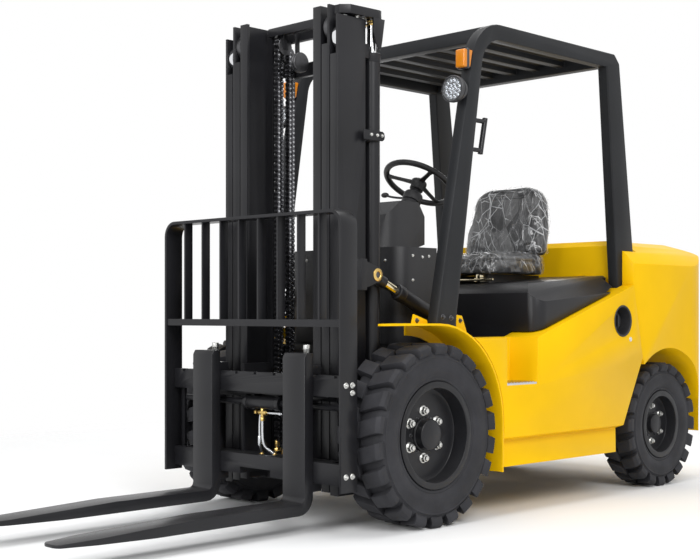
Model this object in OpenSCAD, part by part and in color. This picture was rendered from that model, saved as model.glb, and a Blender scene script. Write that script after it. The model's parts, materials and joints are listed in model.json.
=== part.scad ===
// Counterbalanced forklift truck with a three-stage mast, side shift and load backrest.
// Lengths are in millimetres. The truck faces +X, its left side is +Y, and it stands on z = 0.
// Places along the truck are written from the front axle, and the whole truck is then centred.

/* [Wheels] */
// Distance between the front and the rear axle
wheelbase = 1700; // [1650:5:1800]
// Radius of a front tyre over its lugs
front_tyre_r = 355; // [345:1:365]
// Width of a front tyre over its lugs
front_tyre_w = 216; // [200:1:224]
// Distance of a front tyre's middle from the face of the side panels
front_wheel_inset = 103; // [95:1:108]
// Radius of a front rim's bead seat
front_rim_r = 190; // [182:1:196]
// Number of lugs on one side of a front tyre
front_lugs = 22; // [16:1:26]
// Radius of a rear tyre over its lugs
rear_tyre_r = 295; // [285:1:300]
// Width of a rear tyre over its lugs
rear_tyre_w = 172; // [160:1:178]
// Distance of a rear tyre's middle from the face of the side panels
rear_wheel_inset = 118; // [108:1:122]
// Radius of a rear rim's bead seat
rear_rim_r = 142; // [136:1:148]
// Number of lugs on one side of a rear tyre
rear_lugs = 20; // [16:1:24]
// Height of the lugs above the tread
lug_h = 24; // [14:1:30]
// Share of the pitch that a lug fills
lug_fill = 0.66; // [0.5:0.01:0.75]
// Thickness of the rims' steel
rim_wall = 8; // [6:1:10]
// Height of a rim's flange above its bead seat
rim_flange_h = 18; // [12:1:22]

/* [Axles] */
// Radius of the drive axle's tube, which the mast turns on
axle_tube_r = 72; // [60:1:80]
// Radius of the drive axle's gear housing
differential_r = 103; // [96:1:104]
// Radius of the front wheels' spindles
front_spindle_r = 40; // [30:1:46]
// Radius of the rear wheels' spindles
rear_spindle_r = 28; // [22:1:32]
// Distance of a kingpin from its tyre's middle
kingpin_inset = 130; // [128:1:136]
// Radius of a kingpin
kingpin_r = 16; // [12:1:20]
// Radius of a steering knuckle's boss
knuckle_r = 36; // [30:1:38]
// Height of a steering knuckle's boss
knuckle_h = 124; // [110:2:130]
// Thickness of the steer axle's top and bottom plates
steer_plate_t = 25; // [15:1:30]
// Half the width of the steer axle at its kingpins
steer_half_w = 38; // [34:1:39]
// Radial clearance of a shaft that turns in its bore
running_fit = 0.05; // [0.02:0.01:0.1]
// Clearance between pieces that stand still against each other
seat_gap = 0.3; // [0.2:0.05:0.5]
// Clearance between pieces that pass each other
pass_gap = 5; // [5:0.5:8]

/* [Mast] */
// Front face of the mast columns, forward of the front axle
mast_front = 280; // [272:1:290]
// Depth of the mast columns
mast_depth = 154; // [145:1:158]
// Height of the top of the mast
mast_top = 2018; // [1980:1:2060]
// Height of the bottom of the mast
mast_bottom = 122; // [110:1:140]
// Distance between the mast and the front tyres
mast_inset = 58; // [53:1:61]
// Width of one column's channel
channel_w = 42; // [38:1:43]
// Thickness of a channel's web
channel_web = 11; // [8:1:14]
// Thickness of a channel's flanges
channel_flange = 14; // [10:1:18]
// Radius of the mast rollers
roller_r = 52; // [46:1:56]
// Thickness of the cross members
cross_t = 26; // [20:1:28]
// Radius of a lift cylinder's barrel
lift_barrel_r = 32; // [26:1:34]
// Radius of a lift cylinder's rod
lift_rod_r = 20; // [16:1:23]
// Distance of the lift cylinders' axes from the mast's outer faces
lift_inset = 20; // [15:1:23]
// Lift cylinders' axes, forward of the front axle
lift_x = 68; // [62:1:70]
// Distance of the lift barrels' glands below the top of the mast
lift_gland_drop = 168; // [118:1:238]
// Thickness of the head plates that the lift rods push
head_plate_t = 34; // [26:1:38]
// Radius of a chain's sheave at its links
sheave_r = 32; // [28:1:36]
// Width of a leaf chain
chain_w = 24; // [16:1:28]
// Height of a leaf chain's plates
chain_h = 20; // [14:1:22]
// Pitch of the chains
chain_pitch = 50; // [40:1:60]
// Distance of the carriage chains from the inner columns
carriage_chain_inset = 55; // [51:1:59]
// Distance of the inner mast's chains from the inner columns
inner_chain_inset = 17; // [15:1:19]

/* [Tilt cylinders] */
// Distance of the tilt cylinders from the mast's outer faces
tilt_gap = 47; // [43:1:51]
// Pin in the mast, forward of the front axle and above the floor
tilt_eye = [141, 973];
// Pin on the frame, forward of the front axle and above the floor
tilt_foot = [-230, 812];
// Radius of a tilt cylinder's barrel
tilt_barrel_r = 30; // [26:1:31]
// Radius of a tilt cylinder's rod
tilt_rod_r = 18; // [14:1:20]
// Distance from the foot pin to the barrel's gland
tilt_barrel_l = 250; // [240:1:265]
// Radius of the tilt cylinders' pins
tilt_pin_r = 14; // [10:1:15]

/* [Carriage and forks] */
// Front face of the fork bars, forward of the front axle
fork_bar_front = 411; // [405:1:416]
// Thickness of the fork bars
fork_bar_t = 31; // [26:1:32]
// Height of each fork bar
fork_bar_h = 80; // [70:1:86]
// Height of the fork frame from the lower bar's bottom to the upper bar's top
fork_frame_h = 407; // [400:1:420]
// Height of the lower bar's bottom above the floor
fork_bar_z = 186; // [180:1:196]
// Width of a fork
fork_w = 122; // [100:1:130]
// Thickness of a fork
fork_t = 45; // [38:1:50]
// Length of a fork's blade
fork_l = 1070; // [920:10:1200]
// Height of the blades' undersides above the floor
fork_z = 68; // [60:1:80]
// Height of the forks' tops above the floor
fork_top = 675; // [665:1:690]
// Distance of a fork's middle from the centre line
fork_y = 270; // [200:1:300]
// Half the travel of the side shift
side_travel = 100; // [60:5:100]
// Half the width of the load backrest
backrest_half_w = 521; // [518:1:530]
// Height of the load backrest's top
backrest_top = 1207; // [1150:1:1260]
// Depth of the load backrest's flat bar
backrest_depth = 84; // [60:1:90]
// Thickness of the load backrest's flat bar
backrest_t = 12; // [8:1:13]
// Radius of the load backrest's corners
backrest_corner = 62; // [40:1:90]
// Number of upright bars in the load backrest
backrest_bars = 8; // [4:1:10]

/* [Body] */
// Half the width over the side panels
body_half_w = 600; // [590:1:606]
// Thickness of the side tanks
tank_w = 180; // [170:1:190]
// Underside of the side panels
body_z = 200; // [190:1:230]
// Height of the sill beside the floor
sill_z = 725; // [715:1:735]
// Underside of the floor plate
floor_z = 690; // [684:1:696]
// Thickness of the floor plate
floor_t = 10; // [6:1:12]
// Where the side panels start to rise, behind the front axle, as a share of the wheelbase
panel_rise_share = 0.3765; // [0.372:0.0005:0.382]
// Front face of the hood, behind the front axle, as a share of the wheelbase
hood_front_share = 0.406; // [0.4:0.0005:0.411]
// Distance of the hood's rear face from the rear axle
hood_rear_gap = 358; // [354:1:364]
// Height of the top of the hood
hood_top = 1000; // [985:1:1015]
// Fall of the hood's top from its rear edge to its front
hood_drop = 52; // [44:1:60]
// Distance of the hood's sides from the face of the side panels
hood_inset = 34; // [20:1:50]
// Thickness of the hood's wall
hood_wall = 8; // [5:1:12]
// Distance of the counterweight's rear end from the rear axle
rear_overhang = 480; // [460:1:520]
// Height of the top of the counterweight
weight_top = 1165; // [1120:1:1180]
// Underside of the counterweight
weight_z = 240; // [220:1:280]
// Radius of the counterweight's rear corners
weight_corner = 270; // [200:1:320]
// Radius of the rear wheel arches
rear_arch_r = 365; // [355:1:375]
// Radius of the front fenders' bend
fender_r = 400; // [390:1:408]
// Thickness of the front fenders
fender_t = 8; // [5:1:12]
// Width of the front fenders
fender_w = 176; // [170:1:180]

/* [Cab] */
// Height of the top of the overhead guard
guard_top = 2016; // [1980:1:2060]
// Distance of the overhead guard from the face of the side panels
guard_inset = 65; // [60:1:70]
// Width of the guard's pillars across the truck
pillar_w = 52; // [40:1:58]
// Depth of the guard's roof rails
rail_h = 66; // [56:1:76]
// Outer radius of the bend above a front pillar
guard_bend = 190; // [150:1:230]
// Radius of the steering wheel at its rim's middle
steering_r = 155; // [140:1:185]
// Radius of the steering wheel's rim
steering_grip_r = 14; // [10:1:17]
// Lean of the steering column from upright
steering_lean = 32; // [25:1:38]
// Half the width of the seat
seat_half_w = 240; // [220:1:255]
// Thickness of the seat's back
seat_t = 88; // [80:1:100]
// Thickness of the seat cushion
cushion_t = 100; // [92:1:108]
// Height of the seat's back above its cushion
seat_back_h = 360; // [340:1:380]
// Lean of the seat's back from upright
seat_lean = 10; // [6:1:14]

/* [Hidden] */
$fn = 64;
eps = 1;

// Places across the truck
front_wheel_y = body_half_w - front_wheel_inset;
rear_wheel_y = body_half_w - rear_wheel_inset;
kingpin_y = rear_wheel_y - kingpin_inset;
front_inner = front_wheel_y - front_tyre_w / 2;
mast_half_w = front_inner - mast_inset;
lift_y = mast_half_w - lift_inset;
tilt_y = mast_half_w + tilt_gap;
hood_half_w = body_half_w - hood_inset;
guard_half_w = body_half_w - guard_inset;
fender_inner = body_half_w - fender_w;

// Places along the truck
rear_x = -wheelbase;
rear_end = rear_x - rear_overhang;
hood_front = -wheelbase * hood_front_share;
hood_rear = rear_x + hood_rear_gap;
panel_rise = -wheelbase * panel_rise_share;

// Where the truck's middle lies, so that the model is centred on its own length
fork_tip = fork_bar_front + seat_gap + fork_t + fork_l;
frame_shift = -(fork_tip + rear_end) / 2;

body_yellow = [0.97, 0.74, 0.03];
black = [0.07, 0.07, 0.08];
rubber = [0.09, 0.09, 0.09];
steel = [0.72, 0.73, 0.74];
dark_steel = [0.20, 0.20, 0.21];

// Columns from the outside in: outer edges of the three stages
stage_pitch = channel_w + pass_gap;
middle_half_w = mast_half_w - stage_pitch;
inner_half_w = middle_half_w - stage_pitch;
inner_clear = inner_half_w - channel_w;
carriage_chain_y = inner_clear - carriage_chain_inset;
inner_chain_y = inner_clear - inner_chain_inset;
lift_gland_z = mast_top - lift_gland_drop;
mast_rear = mast_front - mast_depth;
outer_top = mast_top - head_plate_t - 10;

// A block between two corners
module block(lo, hi) {
  translate(lo)
    cube(hi - lo);
}

// A round bar along Y, at a place in the side view
module bar_y(x, z, r, y0, y1) {
  translate([x, y0, z])
    rotate([-90, 0, 0])
      cylinder(r = r, h = y1 - y0);
}

// A side-view outline, extruded from y0 to y1
module side(y0, y1) {
  translate([0, y1, 0])
    rotate([90, 0, 0])
      linear_extrude(y1 - y0)
        children();
}

// A front-view outline, extruded from x0 to x1
module front(x0, x1) {
  translate([x0, 0, 0])
    rotate([90, 0, 90])
      linear_extrude(x1 - x0)
        children();
}

// What stands on the left side, and its mirror image on the right
module both_sides() {
  children();
  mirror([0, 1, 0])
    children();
}

module place() {
  translate([frame_shift, 0, 0])
    children();
}

// Points of an arc about a centre
function arc(c, r, a0, a1, n) =
  [for (i = [0 : n]) let (a = a0 + (a1 - a0) * i / n) c + r * [cos(a), sin(a)]];

// Tyres and rims, drawn about Z with the outer face up

module tyre(r, w, bead_r, lugs) {
  tread_r = r - lug_h;
  half = w / 2;
  bead_half = half - 22;
  wall_r = (bead_r + tread_r) / 2;
  belly = half - 5;
  shoulder = half - 12;
  outline = [[bead_r, bead_half], [bead_r + rim_flange_h, bead_half], [bead_r + rim_flange_h + 5, belly - 6],
    [wall_r, belly], [tread_r - lug_h, shoulder], [tread_r, half - 40]];
  rotate_extrude()
    polygon(concat(outline, [for (i = [len(outline) - 1 : -1 : 0]) [outline[i].x, -outline[i].y]]));
  pitch = 360 / lugs;
  for (k = [0 : lugs - 1], s = [0, 1])
    rotate([0, 0, 90 + (k + s / 2) * pitch])
      mirror([0, 0, s])
        lug(r, half, pitch * lug_fill);
}

module lug(r, half, angle) {
  root_r = r - lug_h - 10;
  bevel = 12;
  rotate([0, 0, -angle / 2])
    rotate_extrude(angle = angle)
      polygon([[root_r, 4], [root_r, half - 16], [r - lug_h - 20, half - 8], [r - lug_h, half],
        [r - bevel, half], [r, half - bevel], [r, 4]]);
}

module rim(rim_r, half, disc, bore_r, hub_r, hub_in, hub_out, cap) {
  barrel = rim_r - rim_wall;
  lip = rim_r + rim_flange_h;
  collar = cap + 6;
  rotate_extrude()
    polygon([[barrel, -half - rim_wall], [lip, -half - rim_wall], [lip, -half], [rim_r, -half], [rim_r, half],
      [lip, half], [lip, half + rim_wall], [barrel, half + rim_wall], [barrel, disc + 2 * rim_wall],
      [barrel - 18, disc + 12], [collar, disc + 12], [collar, hub_out], [cap, hub_out],
      [cap, hub_out + cap / 2], [cap * 0.8, hub_out + cap * 0.6], [0, hub_out + cap * 0.6], [0, hub_out],
      [bore_r, hub_out],
      [bore_r, hub_in], [hub_r, hub_in], [hub_r, disc], [barrel - 10, disc], [barrel, disc - 10]]);
}

front_bead_half = front_tyre_w / 2 - 22 + seat_gap;
rear_bead_half = rear_tyre_w / 2 - 22 + seat_gap;
front_hub_out = 34;
front_hub_in = -112;
rear_hub_out = 20;
rear_hub_in = -72;

module front_wheel_place() {
  translate([0, front_wheel_y, front_tyre_r])
    rotate([-90, 0, 0])
      children();
}

module rear_wheel_place() {
  translate([-wheelbase, rear_wheel_y, rear_tyre_r])
    rotate([-90, 0, 0])
      children();
}

module front_tyre() {
  color(rubber)
    front_wheel_place()
      tyre(front_tyre_r, front_tyre_w, front_rim_r + seat_gap, front_lugs);
}

module rear_tyre() {
  color(rubber)
    rear_wheel_place()
      tyre(rear_tyre_r, rear_tyre_w, rear_rim_r + seat_gap, rear_lugs);
}

module front_rim() {
  color(black)
    front_wheel_place()
      rim(front_rim_r, front_bead_half, 10, front_spindle_r + running_fit, 84, front_hub_in, front_hub_out,
        60);
}

module rear_rim() {
  color(black)
    rear_wheel_place()
      rim(rear_rim_r, rear_bead_half, 4, rear_spindle_r + running_fit, 66, rear_hub_in, rear_hub_out, 46);
}

// Axles

module drive_axle() {
  tube_end = front_wheel_y + front_hub_in - 22;
  spindle_end = front_wheel_y + front_hub_out - seat_gap;
  color(dark_steel)
    translate([0, 0, front_tyre_r])
      rotate([-90, 0, 0])
        rotate_extrude()
          polygon(concat(
            [[0, -spindle_end], [front_spindle_r, -spindle_end], [front_spindle_r, -tube_end - 20],
             [110, -tube_end - 20], [110, -tube_end], [axle_tube_r, -tube_end], [axle_tube_r, -190]],
            arc([0, 0], differential_r, -40, 40, 10),
            [[axle_tube_r, 190], [axle_tube_r, tube_end], [110, tube_end], [110, tube_end + 20],
             [front_spindle_r, tube_end + 20], [front_spindle_r, spindle_end], [0, spindle_end]]));
}

knuckle_z0 = rear_tyre_r - knuckle_h / 2;
knuckle_z1 = rear_tyre_r + knuckle_h / 2;
steer_bottom = knuckle_z0 - seat_gap - steer_plate_t;
steer_top = knuckle_z1 + seat_gap + steer_plate_t;
trunnion_z = rear_tyre_r + 10;
trunnion_r = 30;
trunnion_half = 118;

// Top or bottom plate of the steer axle, wider in its middle
module steer_plate() {
  waist = kingpin_y - 112;
  belly = 72;
  linear_extrude(steer_plate_t) {
    polygon([[-steer_half_w, kingpin_y], [-steer_half_w, waist], [-belly, 120], [-belly, -120],
      [-steer_half_w, -waist], [-steer_half_w, -kingpin_y], [steer_half_w, -kingpin_y],
      [steer_half_w, -waist], [belly, -120], [belly, 120], [steer_half_w, waist], [steer_half_w, kingpin_y]]);
    for (s = [-1, 1])
      translate([0, s * kingpin_y])
        circle(r = steer_half_w);
  }
}

module steer_axle() {
  web_half = kingpin_y - 52;
  color(dark_steel)
    translate([-wheelbase, 0, 0]) {
      translate([0, 0, steer_bottom])
        steer_plate();
      translate([0, 0, steer_top - steer_plate_t])
        steer_plate();
      block([-34, -web_half, steer_bottom], [34, web_half, steer_top]);
      translate([-trunnion_half, 0, trunnion_z])
        rotate([0, 90, 0])
          cylinder(r = trunnion_r, h = 2 * trunnion_half);
      both_sides()
        translate([0, kingpin_y, steer_bottom])
          cylinder(r = kingpin_r, h = steer_top - steer_bottom);
    }
}

module knuckle() {
  spindle_end = rear_wheel_y + rear_hub_out - seat_gap;
  color(dark_steel)
    translate([-wheelbase, kingpin_y, 0])
      difference() {
        union() {
          translate([0, 0, knuckle_z0])
            cylinder(r = knuckle_r, h = knuckle_h);
          bar_y(0, rear_tyre_r, rear_spindle_r, 0, spindle_end - kingpin_y);
          bar_y(0, rear_tyre_r, 46, 0, rear_wheel_y + rear_hub_in - 4 - kingpin_y);
        }
        translate([0, 0, knuckle_z0 - eps])
          cylinder(r = kingpin_r + running_fit, h = knuckle_h + 2 * eps);
      }
}

// Chassis

rail_y = mast_half_w + 9;
rail_t = 16;
wall_x = -110;
wall_t = 20;
rear_wall = rear_x + 400;
arm_y = [mast_half_w + 6, mast_half_w + 26];
tail_half = 100;
tail_top = 610;
tail_bottom = 440;
tail_end = rear_x - 260;

module axle_arm() {
  difference() {
    side(arm_y[0], arm_y[1])
      polygon([[wall_x - eps, 200], [-40, 240], [56, 300], [56, 420], [-20, 500], [wall_x - eps, 600]]);
    bar_y(0, front_tyre_r, axle_tube_r + seat_gap, arm_y[0] - eps, arm_y[1] + eps);
  }
}

ear_t = 8;
eye_w = 46;
frame_top = floor_z - seat_gap;
shelf_y = fender_inner - 9;
ear_r = 28;

// Two ears that hold a tilt cylinder's foot pin
module tilt_ears() {
  for (y = [tilt_y - eye_w / 2 - ear_t - 1, tilt_y + eye_w / 2 + 1])
    side(y, y + ear_t)
      union() {
        polygon([[tilt_foot.x - 76, frame_top - eps], [tilt_foot.x - 16, frame_top - eps],
          [tilt_foot.x + 26, tilt_foot.y], [tilt_foot.x - 28, tilt_foot.y]]);
        translate(tilt_foot)
          circle(r = ear_r);
      }
  bar_y(tilt_foot.x, tilt_foot.y, tilt_pin_r, tilt_y - eye_w / 2 - ear_t - 1, tilt_y + eye_w / 2 + ear_t + 1);
}

module frame() {
  trunnion_gap = trunnion_r + seat_gap;
  color(dark_steel) {
    block([wall_x - wall_t, -rail_y - rail_t, 200], [wall_x, rail_y + rail_t, frame_top]);
    both_sides() {
      axle_arm();
      block([rear_wall, rail_y, 250], [wall_x, rail_y + rail_t, 560]);
      block([tilt_foot.x - 80, rail_y, 540], [wall_x, front_inner - 6, frame_top]);
      block([tilt_foot.x - 80, rail_y, 650], [tilt_foot.x - 16, shelf_y, frame_top]);
      tilt_ears();
      for (x = [panel_rise + 20, rear_wall + 120])
        block([x, rail_y + rail_t - eps, 330], [x + 60, body_half_w - tank_w - seat_gap, 420]);
    }
    for (x = [rear_wall + 60, hood_front - 110])
      block([x, -rail_y - eps, 280], [x + 40, rail_y + eps, engine_z - seat_gap]);
    block([rear_wall - wall_t, -rail_y - rail_t, 250], [rear_wall, rail_y + rail_t, 620]);
    difference() {
      union() {
        block([tail_end, -tail_half, tail_bottom], [rear_wall - eps, tail_half, tail_top - seat_gap]);
        for (s = [-1, 1])
          translate([-wheelbase + s * 98, 0, 0])
            block([-18, -60, trunnion_z - 50], [18, 60, tail_bottom + eps]);
      }
      translate([-wheelbase - 200, 0, trunnion_z])
        rotate([0, 90, 0])
          cylinder(r = trunnion_gap, h = 400);
    }
  }
}

engine_z = 320;

module engine_block() {
  half = rail_y - 110;
  color(dark_steel)
    block([hood_rear + 62, -half, engine_z], [hood_front - 30, half, hood_top - 120]);
}

// Side panels with the tanks behind them

fender_c = [-5, front_tyre_r + 30];
panel_seam = [[rear_x + 468, body_z], [rear_x + 241, 618], [rear_x + 318, 955]];
panel_slope = [panel_rise, sill_z];

function panel_outline(gap) = concat(
  [[panel_seam[0].x, panel_seam[0].y], panel_seam[1], panel_seam[2], panel_slope, [-230, sill_z]],
  arc(fender_c, fender_r + gap, 122, 180, 8),
  [[fender_c.x - fender_r - gap, body_z]]);

filler = [rear_x + 410, 790];
filler_r = 66;
step_x0 = panel_rise;
step_x1 = -430;
step_z = 530;
step_wall = 30;

module side_panel() {
  difference() {
    side(body_half_w - tank_w, body_half_w)
      polygon(panel_outline(4));
    block([step_x0, body_half_w - tank_w + step_wall, step_z], [step_x1, body_half_w + eps, sill_z + eps]);
    block([leg_slot[0], guard_half_w - pillar_w - seat_gap, leg_floor],
      [rear_x + 360, guard_half_w + seat_gap, weight_top + 135]);
    translate([0, body_half_w, body_z])
      rotate([20, 0, 0])
        block([rear_x, 0, -200], [0, 60, 110]);
  }
}

module side_panels() {
  color(body_yellow) {
    difference() {
      side_panel();
      bar_y(filler.x, filler.y, filler_r, body_half_w - 60, body_half_w + eps);
    }
    mirror([0, 1, 0])
      side_panel();
  }
}

module step_treads() {
  tread_t = 8;
  inset = 4;
  color(steel)
    both_sides()
      block([step_x0 + inset, body_half_w - tank_w + step_wall + seat_gap, step_z],
        [step_x1 - inset, body_half_w - inset, step_z + tread_t]);
}

module front_fenders() {
  tip = 318;
  taper = 240;
  drop = 181;
  skirt_r = fender_r - 48;
  top = fender_c.y + fender_r;
  outer = concat([[tip, top]], arc(fender_c, fender_r, 90, 180, 12), [[fender_c.x - fender_r, drop]]);
  inner = concat([[fender_c.x - fender_r + fender_t, drop]],
    arc(fender_c, fender_r - fender_t, 180, 90, 12), [[tip, top - fender_t]]);
  color(body_yellow)
    both_sides() {
      difference() {
        side(fender_inner, body_half_w)
          polygon(concat(outer, inner));
        // The front edge runs back towards the mast
        translate([0, 0, top - fender_t - eps])
          linear_extrude(fender_t + 2 * eps)
            polygon([[tip + eps, fender_inner - eps], [tip + eps, body_half_w - 24],
              [tip - taper, fender_inner - eps]]);
      }
      side(shelf_y + seat_gap, fender_inner + eps)
        polygon(concat(arc(fender_c, fender_r, 90, 150, 8), arc(fender_c, skirt_r, 150, 90, 8)));
    }
}

// Counterweight

weight_front = rear_x + 314;
weight_cut = weight_front + 186;
leg_rear = rear_x + 194;
leg_slot = [leg_rear - seat_gap, rear_x + 320];
leg_floor = 800;

// Side view of the casting
module weight_side() {
  polygon([[-wheelbase, weight_z], [panel_seam[1].x - 4, panel_seam[1].y], [weight_front, 955],
    [weight_front, weight_top - 25], [weight_front - 25, weight_top], [rear_end + 250, weight_top],
    [rear_end + 110, weight_top - 40], [rear_end + 50, weight_top - 110], [rear_end + 12, 760],
    [rear_end, 740], [rear_end, weight_z + 80],
    [rear_end + 60, weight_z]]);
}

// Plan of the casting
module weight_plan() {
  half = body_half_w - 4;
  polygon(concat([[weight_cut, half]],
    arc([rear_end + weight_corner, half - weight_corner], weight_corner, 90, 180, 10),
    arc([rear_end + weight_corner, -half + weight_corner], weight_corner, 180, 270, 10),
    [[weight_cut, -half]]));
}

// Front view of the casting, with its sloped shoulders
module weight_front_view() {
  half = body_half_w;
  slope = [[0, 115], [50, 60], [110, 25], [170, 0]];
  right = [for (p = slope) [half - p.x, weight_top - p.y]];
  left = [for (i = [len(slope) - 1 : -1 : 0]) [-right[i].x, right[i].y]];
  polygon(concat([[half, 0]], right, left, [[-half, 0]]));
}

// Room that a steered wheel sweeps about its kingpin
module wheel_house() {
  reach = rear_wheel_y + rear_tyre_w / 2 - kingpin_y;
  margin = 12;
  translate([-wheelbase, kingpin_y, 0])
    rotate_extrude()
      polygon(concat([[0, -eps]],
        [for (h = [-rear_tyre_r - eps, 0, 100, 180, 240, 280])
          [sqrt(pow(rear_tyre_r, 2) - pow(max(h, 0), 2) + pow(reach, 2)) + margin, rear_tyre_r + h]],
        [[0, 2 * rear_tyre_r + margin]]));
}

hinge = [hood_rear - 18, hood_top - 12];
hinge_pin_r = 8;

module counterweight() {
  color(body_yellow) {
    difference() {
      intersection() {
        side(-body_half_w, body_half_w)
          weight_side();
        translate([0, 0, -eps])
          linear_extrude(weight_top + 2 * eps)
            weight_plan();
        front(rear_end - 120, weight_cut)
          weight_front_view();
      }
      both_sides() {
        wheel_house();
        bar_y(-wheelbase, rear_tyre_r, rear_arch_r, kingpin_y, body_half_w + eps);
        block([leg_slot[0], guard_half_w - pillar_w - seat_gap, leg_floor],
          [leg_slot[1], guard_half_w + seat_gap, weight_top + 135]);
        rear_pocket();
      }
      block([tail_end - seat_gap, -tail_half - 40, 0], [weight_cut, tail_half + 40, tail_top]);
      block([rear_wall - 120, -rail_y - rail_t - seat_gap, 0],
        [weight_cut, rail_y + rail_t + seat_gap, 640]);
      radiator_tunnel();
    }
    both_sides()
      hood_hinge_lug();
  }
}

// Tall pocket in a rear corner, which holds the rear lamps
module rear_pocket() {
  translate([rear_end + weight_corner, body_half_w - weight_corner, 760])
    rotate([0, 0, 135])
      translate([weight_corner - 45, -55, 0])
        cube([100, 110, 250]);
}

module radiator_tunnel() {
  block([rear_end - 120, -260, 480], [tail_end - 60, 260, 900]);
}

module hood_hinge_lug() {
  for (y = [300, 350])
    block([weight_front - eps, y, hinge.y - 12], [hinge.x + 12, y + 12, hinge.y + 12]);
  bar_y(hinge.x, hinge.y, hinge_pin_r, 300, 362);
}

// Hood and seat

// Plan of the hood, inset by g
module hood_plan(g) {
  r = 60 - g / 2;
  polygon(concat([[hood_rear, hood_half_w - g]],
    arc([hood_front - g - r, hood_half_w - g - r], r, 90, 0, 6),
    arc([hood_front - g - r, -hood_half_w + g + r], r, 0, -90, 6), [[hood_rear, -hood_half_w + g]]));
}

// Height of the side panels' sloped edge at a place
function slope_z(x) =
  sill_z + (panel_slope.x - x) * (panel_seam[2].y - sill_z) / (panel_slope.x - panel_seam[2].x);

// Height of the hood's top at a place
function hood_top_z(x) = hood_top - hood_drop * (x - hood_rear) / (hood_front - hood_rear);

module hood_outer(g) {
  nose = 70;
  bevel_w = 105;
  bevel_h = 76;
  edge = hood_half_w - g;
  top_edge = hood_half_w - bevel_w - g / 2;
  intersection() {
    side(-edge, edge)
      polygon([[hood_front - g, hood_top_z(hood_front) - 36],
        [hood_front - nose - g / 2, hood_top_z(hood_front - nose) - g],
        [hood_rear + g, hood_top_z(hood_rear + g) - g], [hood_rear + g, slope_z(hood_rear) + 6],
        [hood_front - g, slope_z(hood_front) + 6]]);
    linear_extrude(hood_top + eps)
      hood_plan(g);
    // The side bevels follow the top's fall
    translate([hood_rear, 0, hood_top])
      rotate([0, atan2(hood_drop, hood_front - hood_rear), 0])
        front(-2 * bevel_w, hood_front - hood_rear + 2 * bevel_w)
          polygon([[edge, -hood_top], [edge, -bevel_h - g / 2], [top_edge, 0], [-top_edge, 0],
            [-edge, -bevel_h - g / 2], [-edge, -hood_top]]);
  }
}

module hood() {
  // The apron fills the front down to the floor, between the side panels
  apron_half = body_half_w - tank_w - pass_gap;
  color(black) {
    difference() {
      hood_outer(0);
      hood_inner();
      both_sides()
        block([hood_rear - eps, guard_half_w - pillar_w - 8, 0],
          [hood_rear + 30, body_half_w, hood_top + eps]);
    }
    both_sides()
      hood_knuckle();
    block([hood_front - hood_wall, -apron_half, floor_z + floor_t + pass_gap],
      [hood_front, apron_half, slope_z(hood_front) + 6 + eps]);
  }
}

module hood_inner() {
  hood_outer(hood_wall);
  // The hood is open underneath, along the panels' slope
  intersection() {
    side(-hood_half_w + hood_wall, hood_half_w - hood_wall)
      polygon([[hood_front - hood_wall, 0], [hood_front - hood_wall, sill_z + 40],
        [hood_rear + hood_wall, slope_z(hood_rear) + 12], [hood_rear + hood_wall, 0]]);
    linear_extrude(hood_top)
      hood_plan(hood_wall);
  }
}

module hood_knuckle() {
  y0 = 312 + 1;
  y1 = 350 - 1;
  difference() {
    union() {
      bar_y(hinge.x, hinge.y, 14, y0, y1);
      block([hinge.x, y0, hinge.y - 8], [hood_rear + eps, y1, hinge.y + 8]);
    }
    bar_y(hinge.x, hinge.y, hinge_pin_r + running_fit, y0 - eps, y1 + eps);
  }
}

seat_rear = hood_rear + 80;
seat_front = seat_rear + wheelbase * 0.2718;
seat_z = hood_top + 4;
seat_corner = 60;

module seat_base() {
  rail_x = [seat_rear + 20, seat_front - 60];
  color(dark_steel)
    both_sides() {
      side(120, 170)
        polygon([[rail_x[0], seat_z - seat_gap], [rail_x[1], seat_z - seat_gap],
          [rail_x[1], hood_top_z(rail_x[1]) + seat_gap], [rail_x[0], hood_top_z(rail_x[0]) + seat_gap]]);
    }
}

module seat_cushion() {
  color(black)
    translate([0, 0, seat_z])
      linear_extrude(cushion_t)
        polygon(concat(
          arc([seat_front - seat_corner, seat_half_w - seat_corner], seat_corner, 0, 90, 6),
          arc([seat_rear + seat_corner, seat_half_w - seat_corner], seat_corner, 90, 180, 6),
          arc([seat_rear + seat_corner, -seat_half_w + seat_corner], seat_corner, 180, 270, 6),
          arc([seat_front - seat_corner, -seat_half_w + seat_corner], seat_corner, 270, 360, 6)));
}

module seat_back() {
  r = 110;
  foot = 30;
  color(black)
    translate([seat_rear + seat_t + 12, 0, seat_z + cushion_t + seat_gap])
      rotate([0, -seat_lean, 0])
        difference() {
          translate([-seat_t, 0, -foot])
            front(0, seat_t)
              polygon(concat([[-seat_half_w, 0], [seat_half_w, 0]],
                arc([seat_half_w - r - 20, seat_back_h + foot - r], r, 0, 90, 6),
                arc([-seat_half_w + r + 20, seat_back_h + foot - r], r, 90, 180, 6)));
          rotate([0, seat_lean, 0])
            block([-400, -400, -200], [400, 400, 0]);
        }
}

// Cab

floor_half = body_half_w - tank_w - seat_gap;

module floor_plate() {
  color(black)
    difference() {
      block([hood_front + pass_gap, -floor_half, floor_z], [wall_x, floor_half, floor_z + floor_t]);
      both_sides()
        tilt_slot();
    }
}

// Opening in the floor for a tilt cylinder's bracket
module tilt_slot() {
  block([tilt_foot.x - 90, tilt_y - 45, floor_z - eps], [wall_x + eps, tilt_y + 45, floor_z + floor_t + eps]);
}

cowl_front = -76;
cowl_half_w = mast_half_w - 5;
cowl_top = 1095;
cowl_rear = -310;
cowl_wall = 6;
hump_top = cowl_top + 205;
hump_half = cowl_half_w / 2 + 2;

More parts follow.
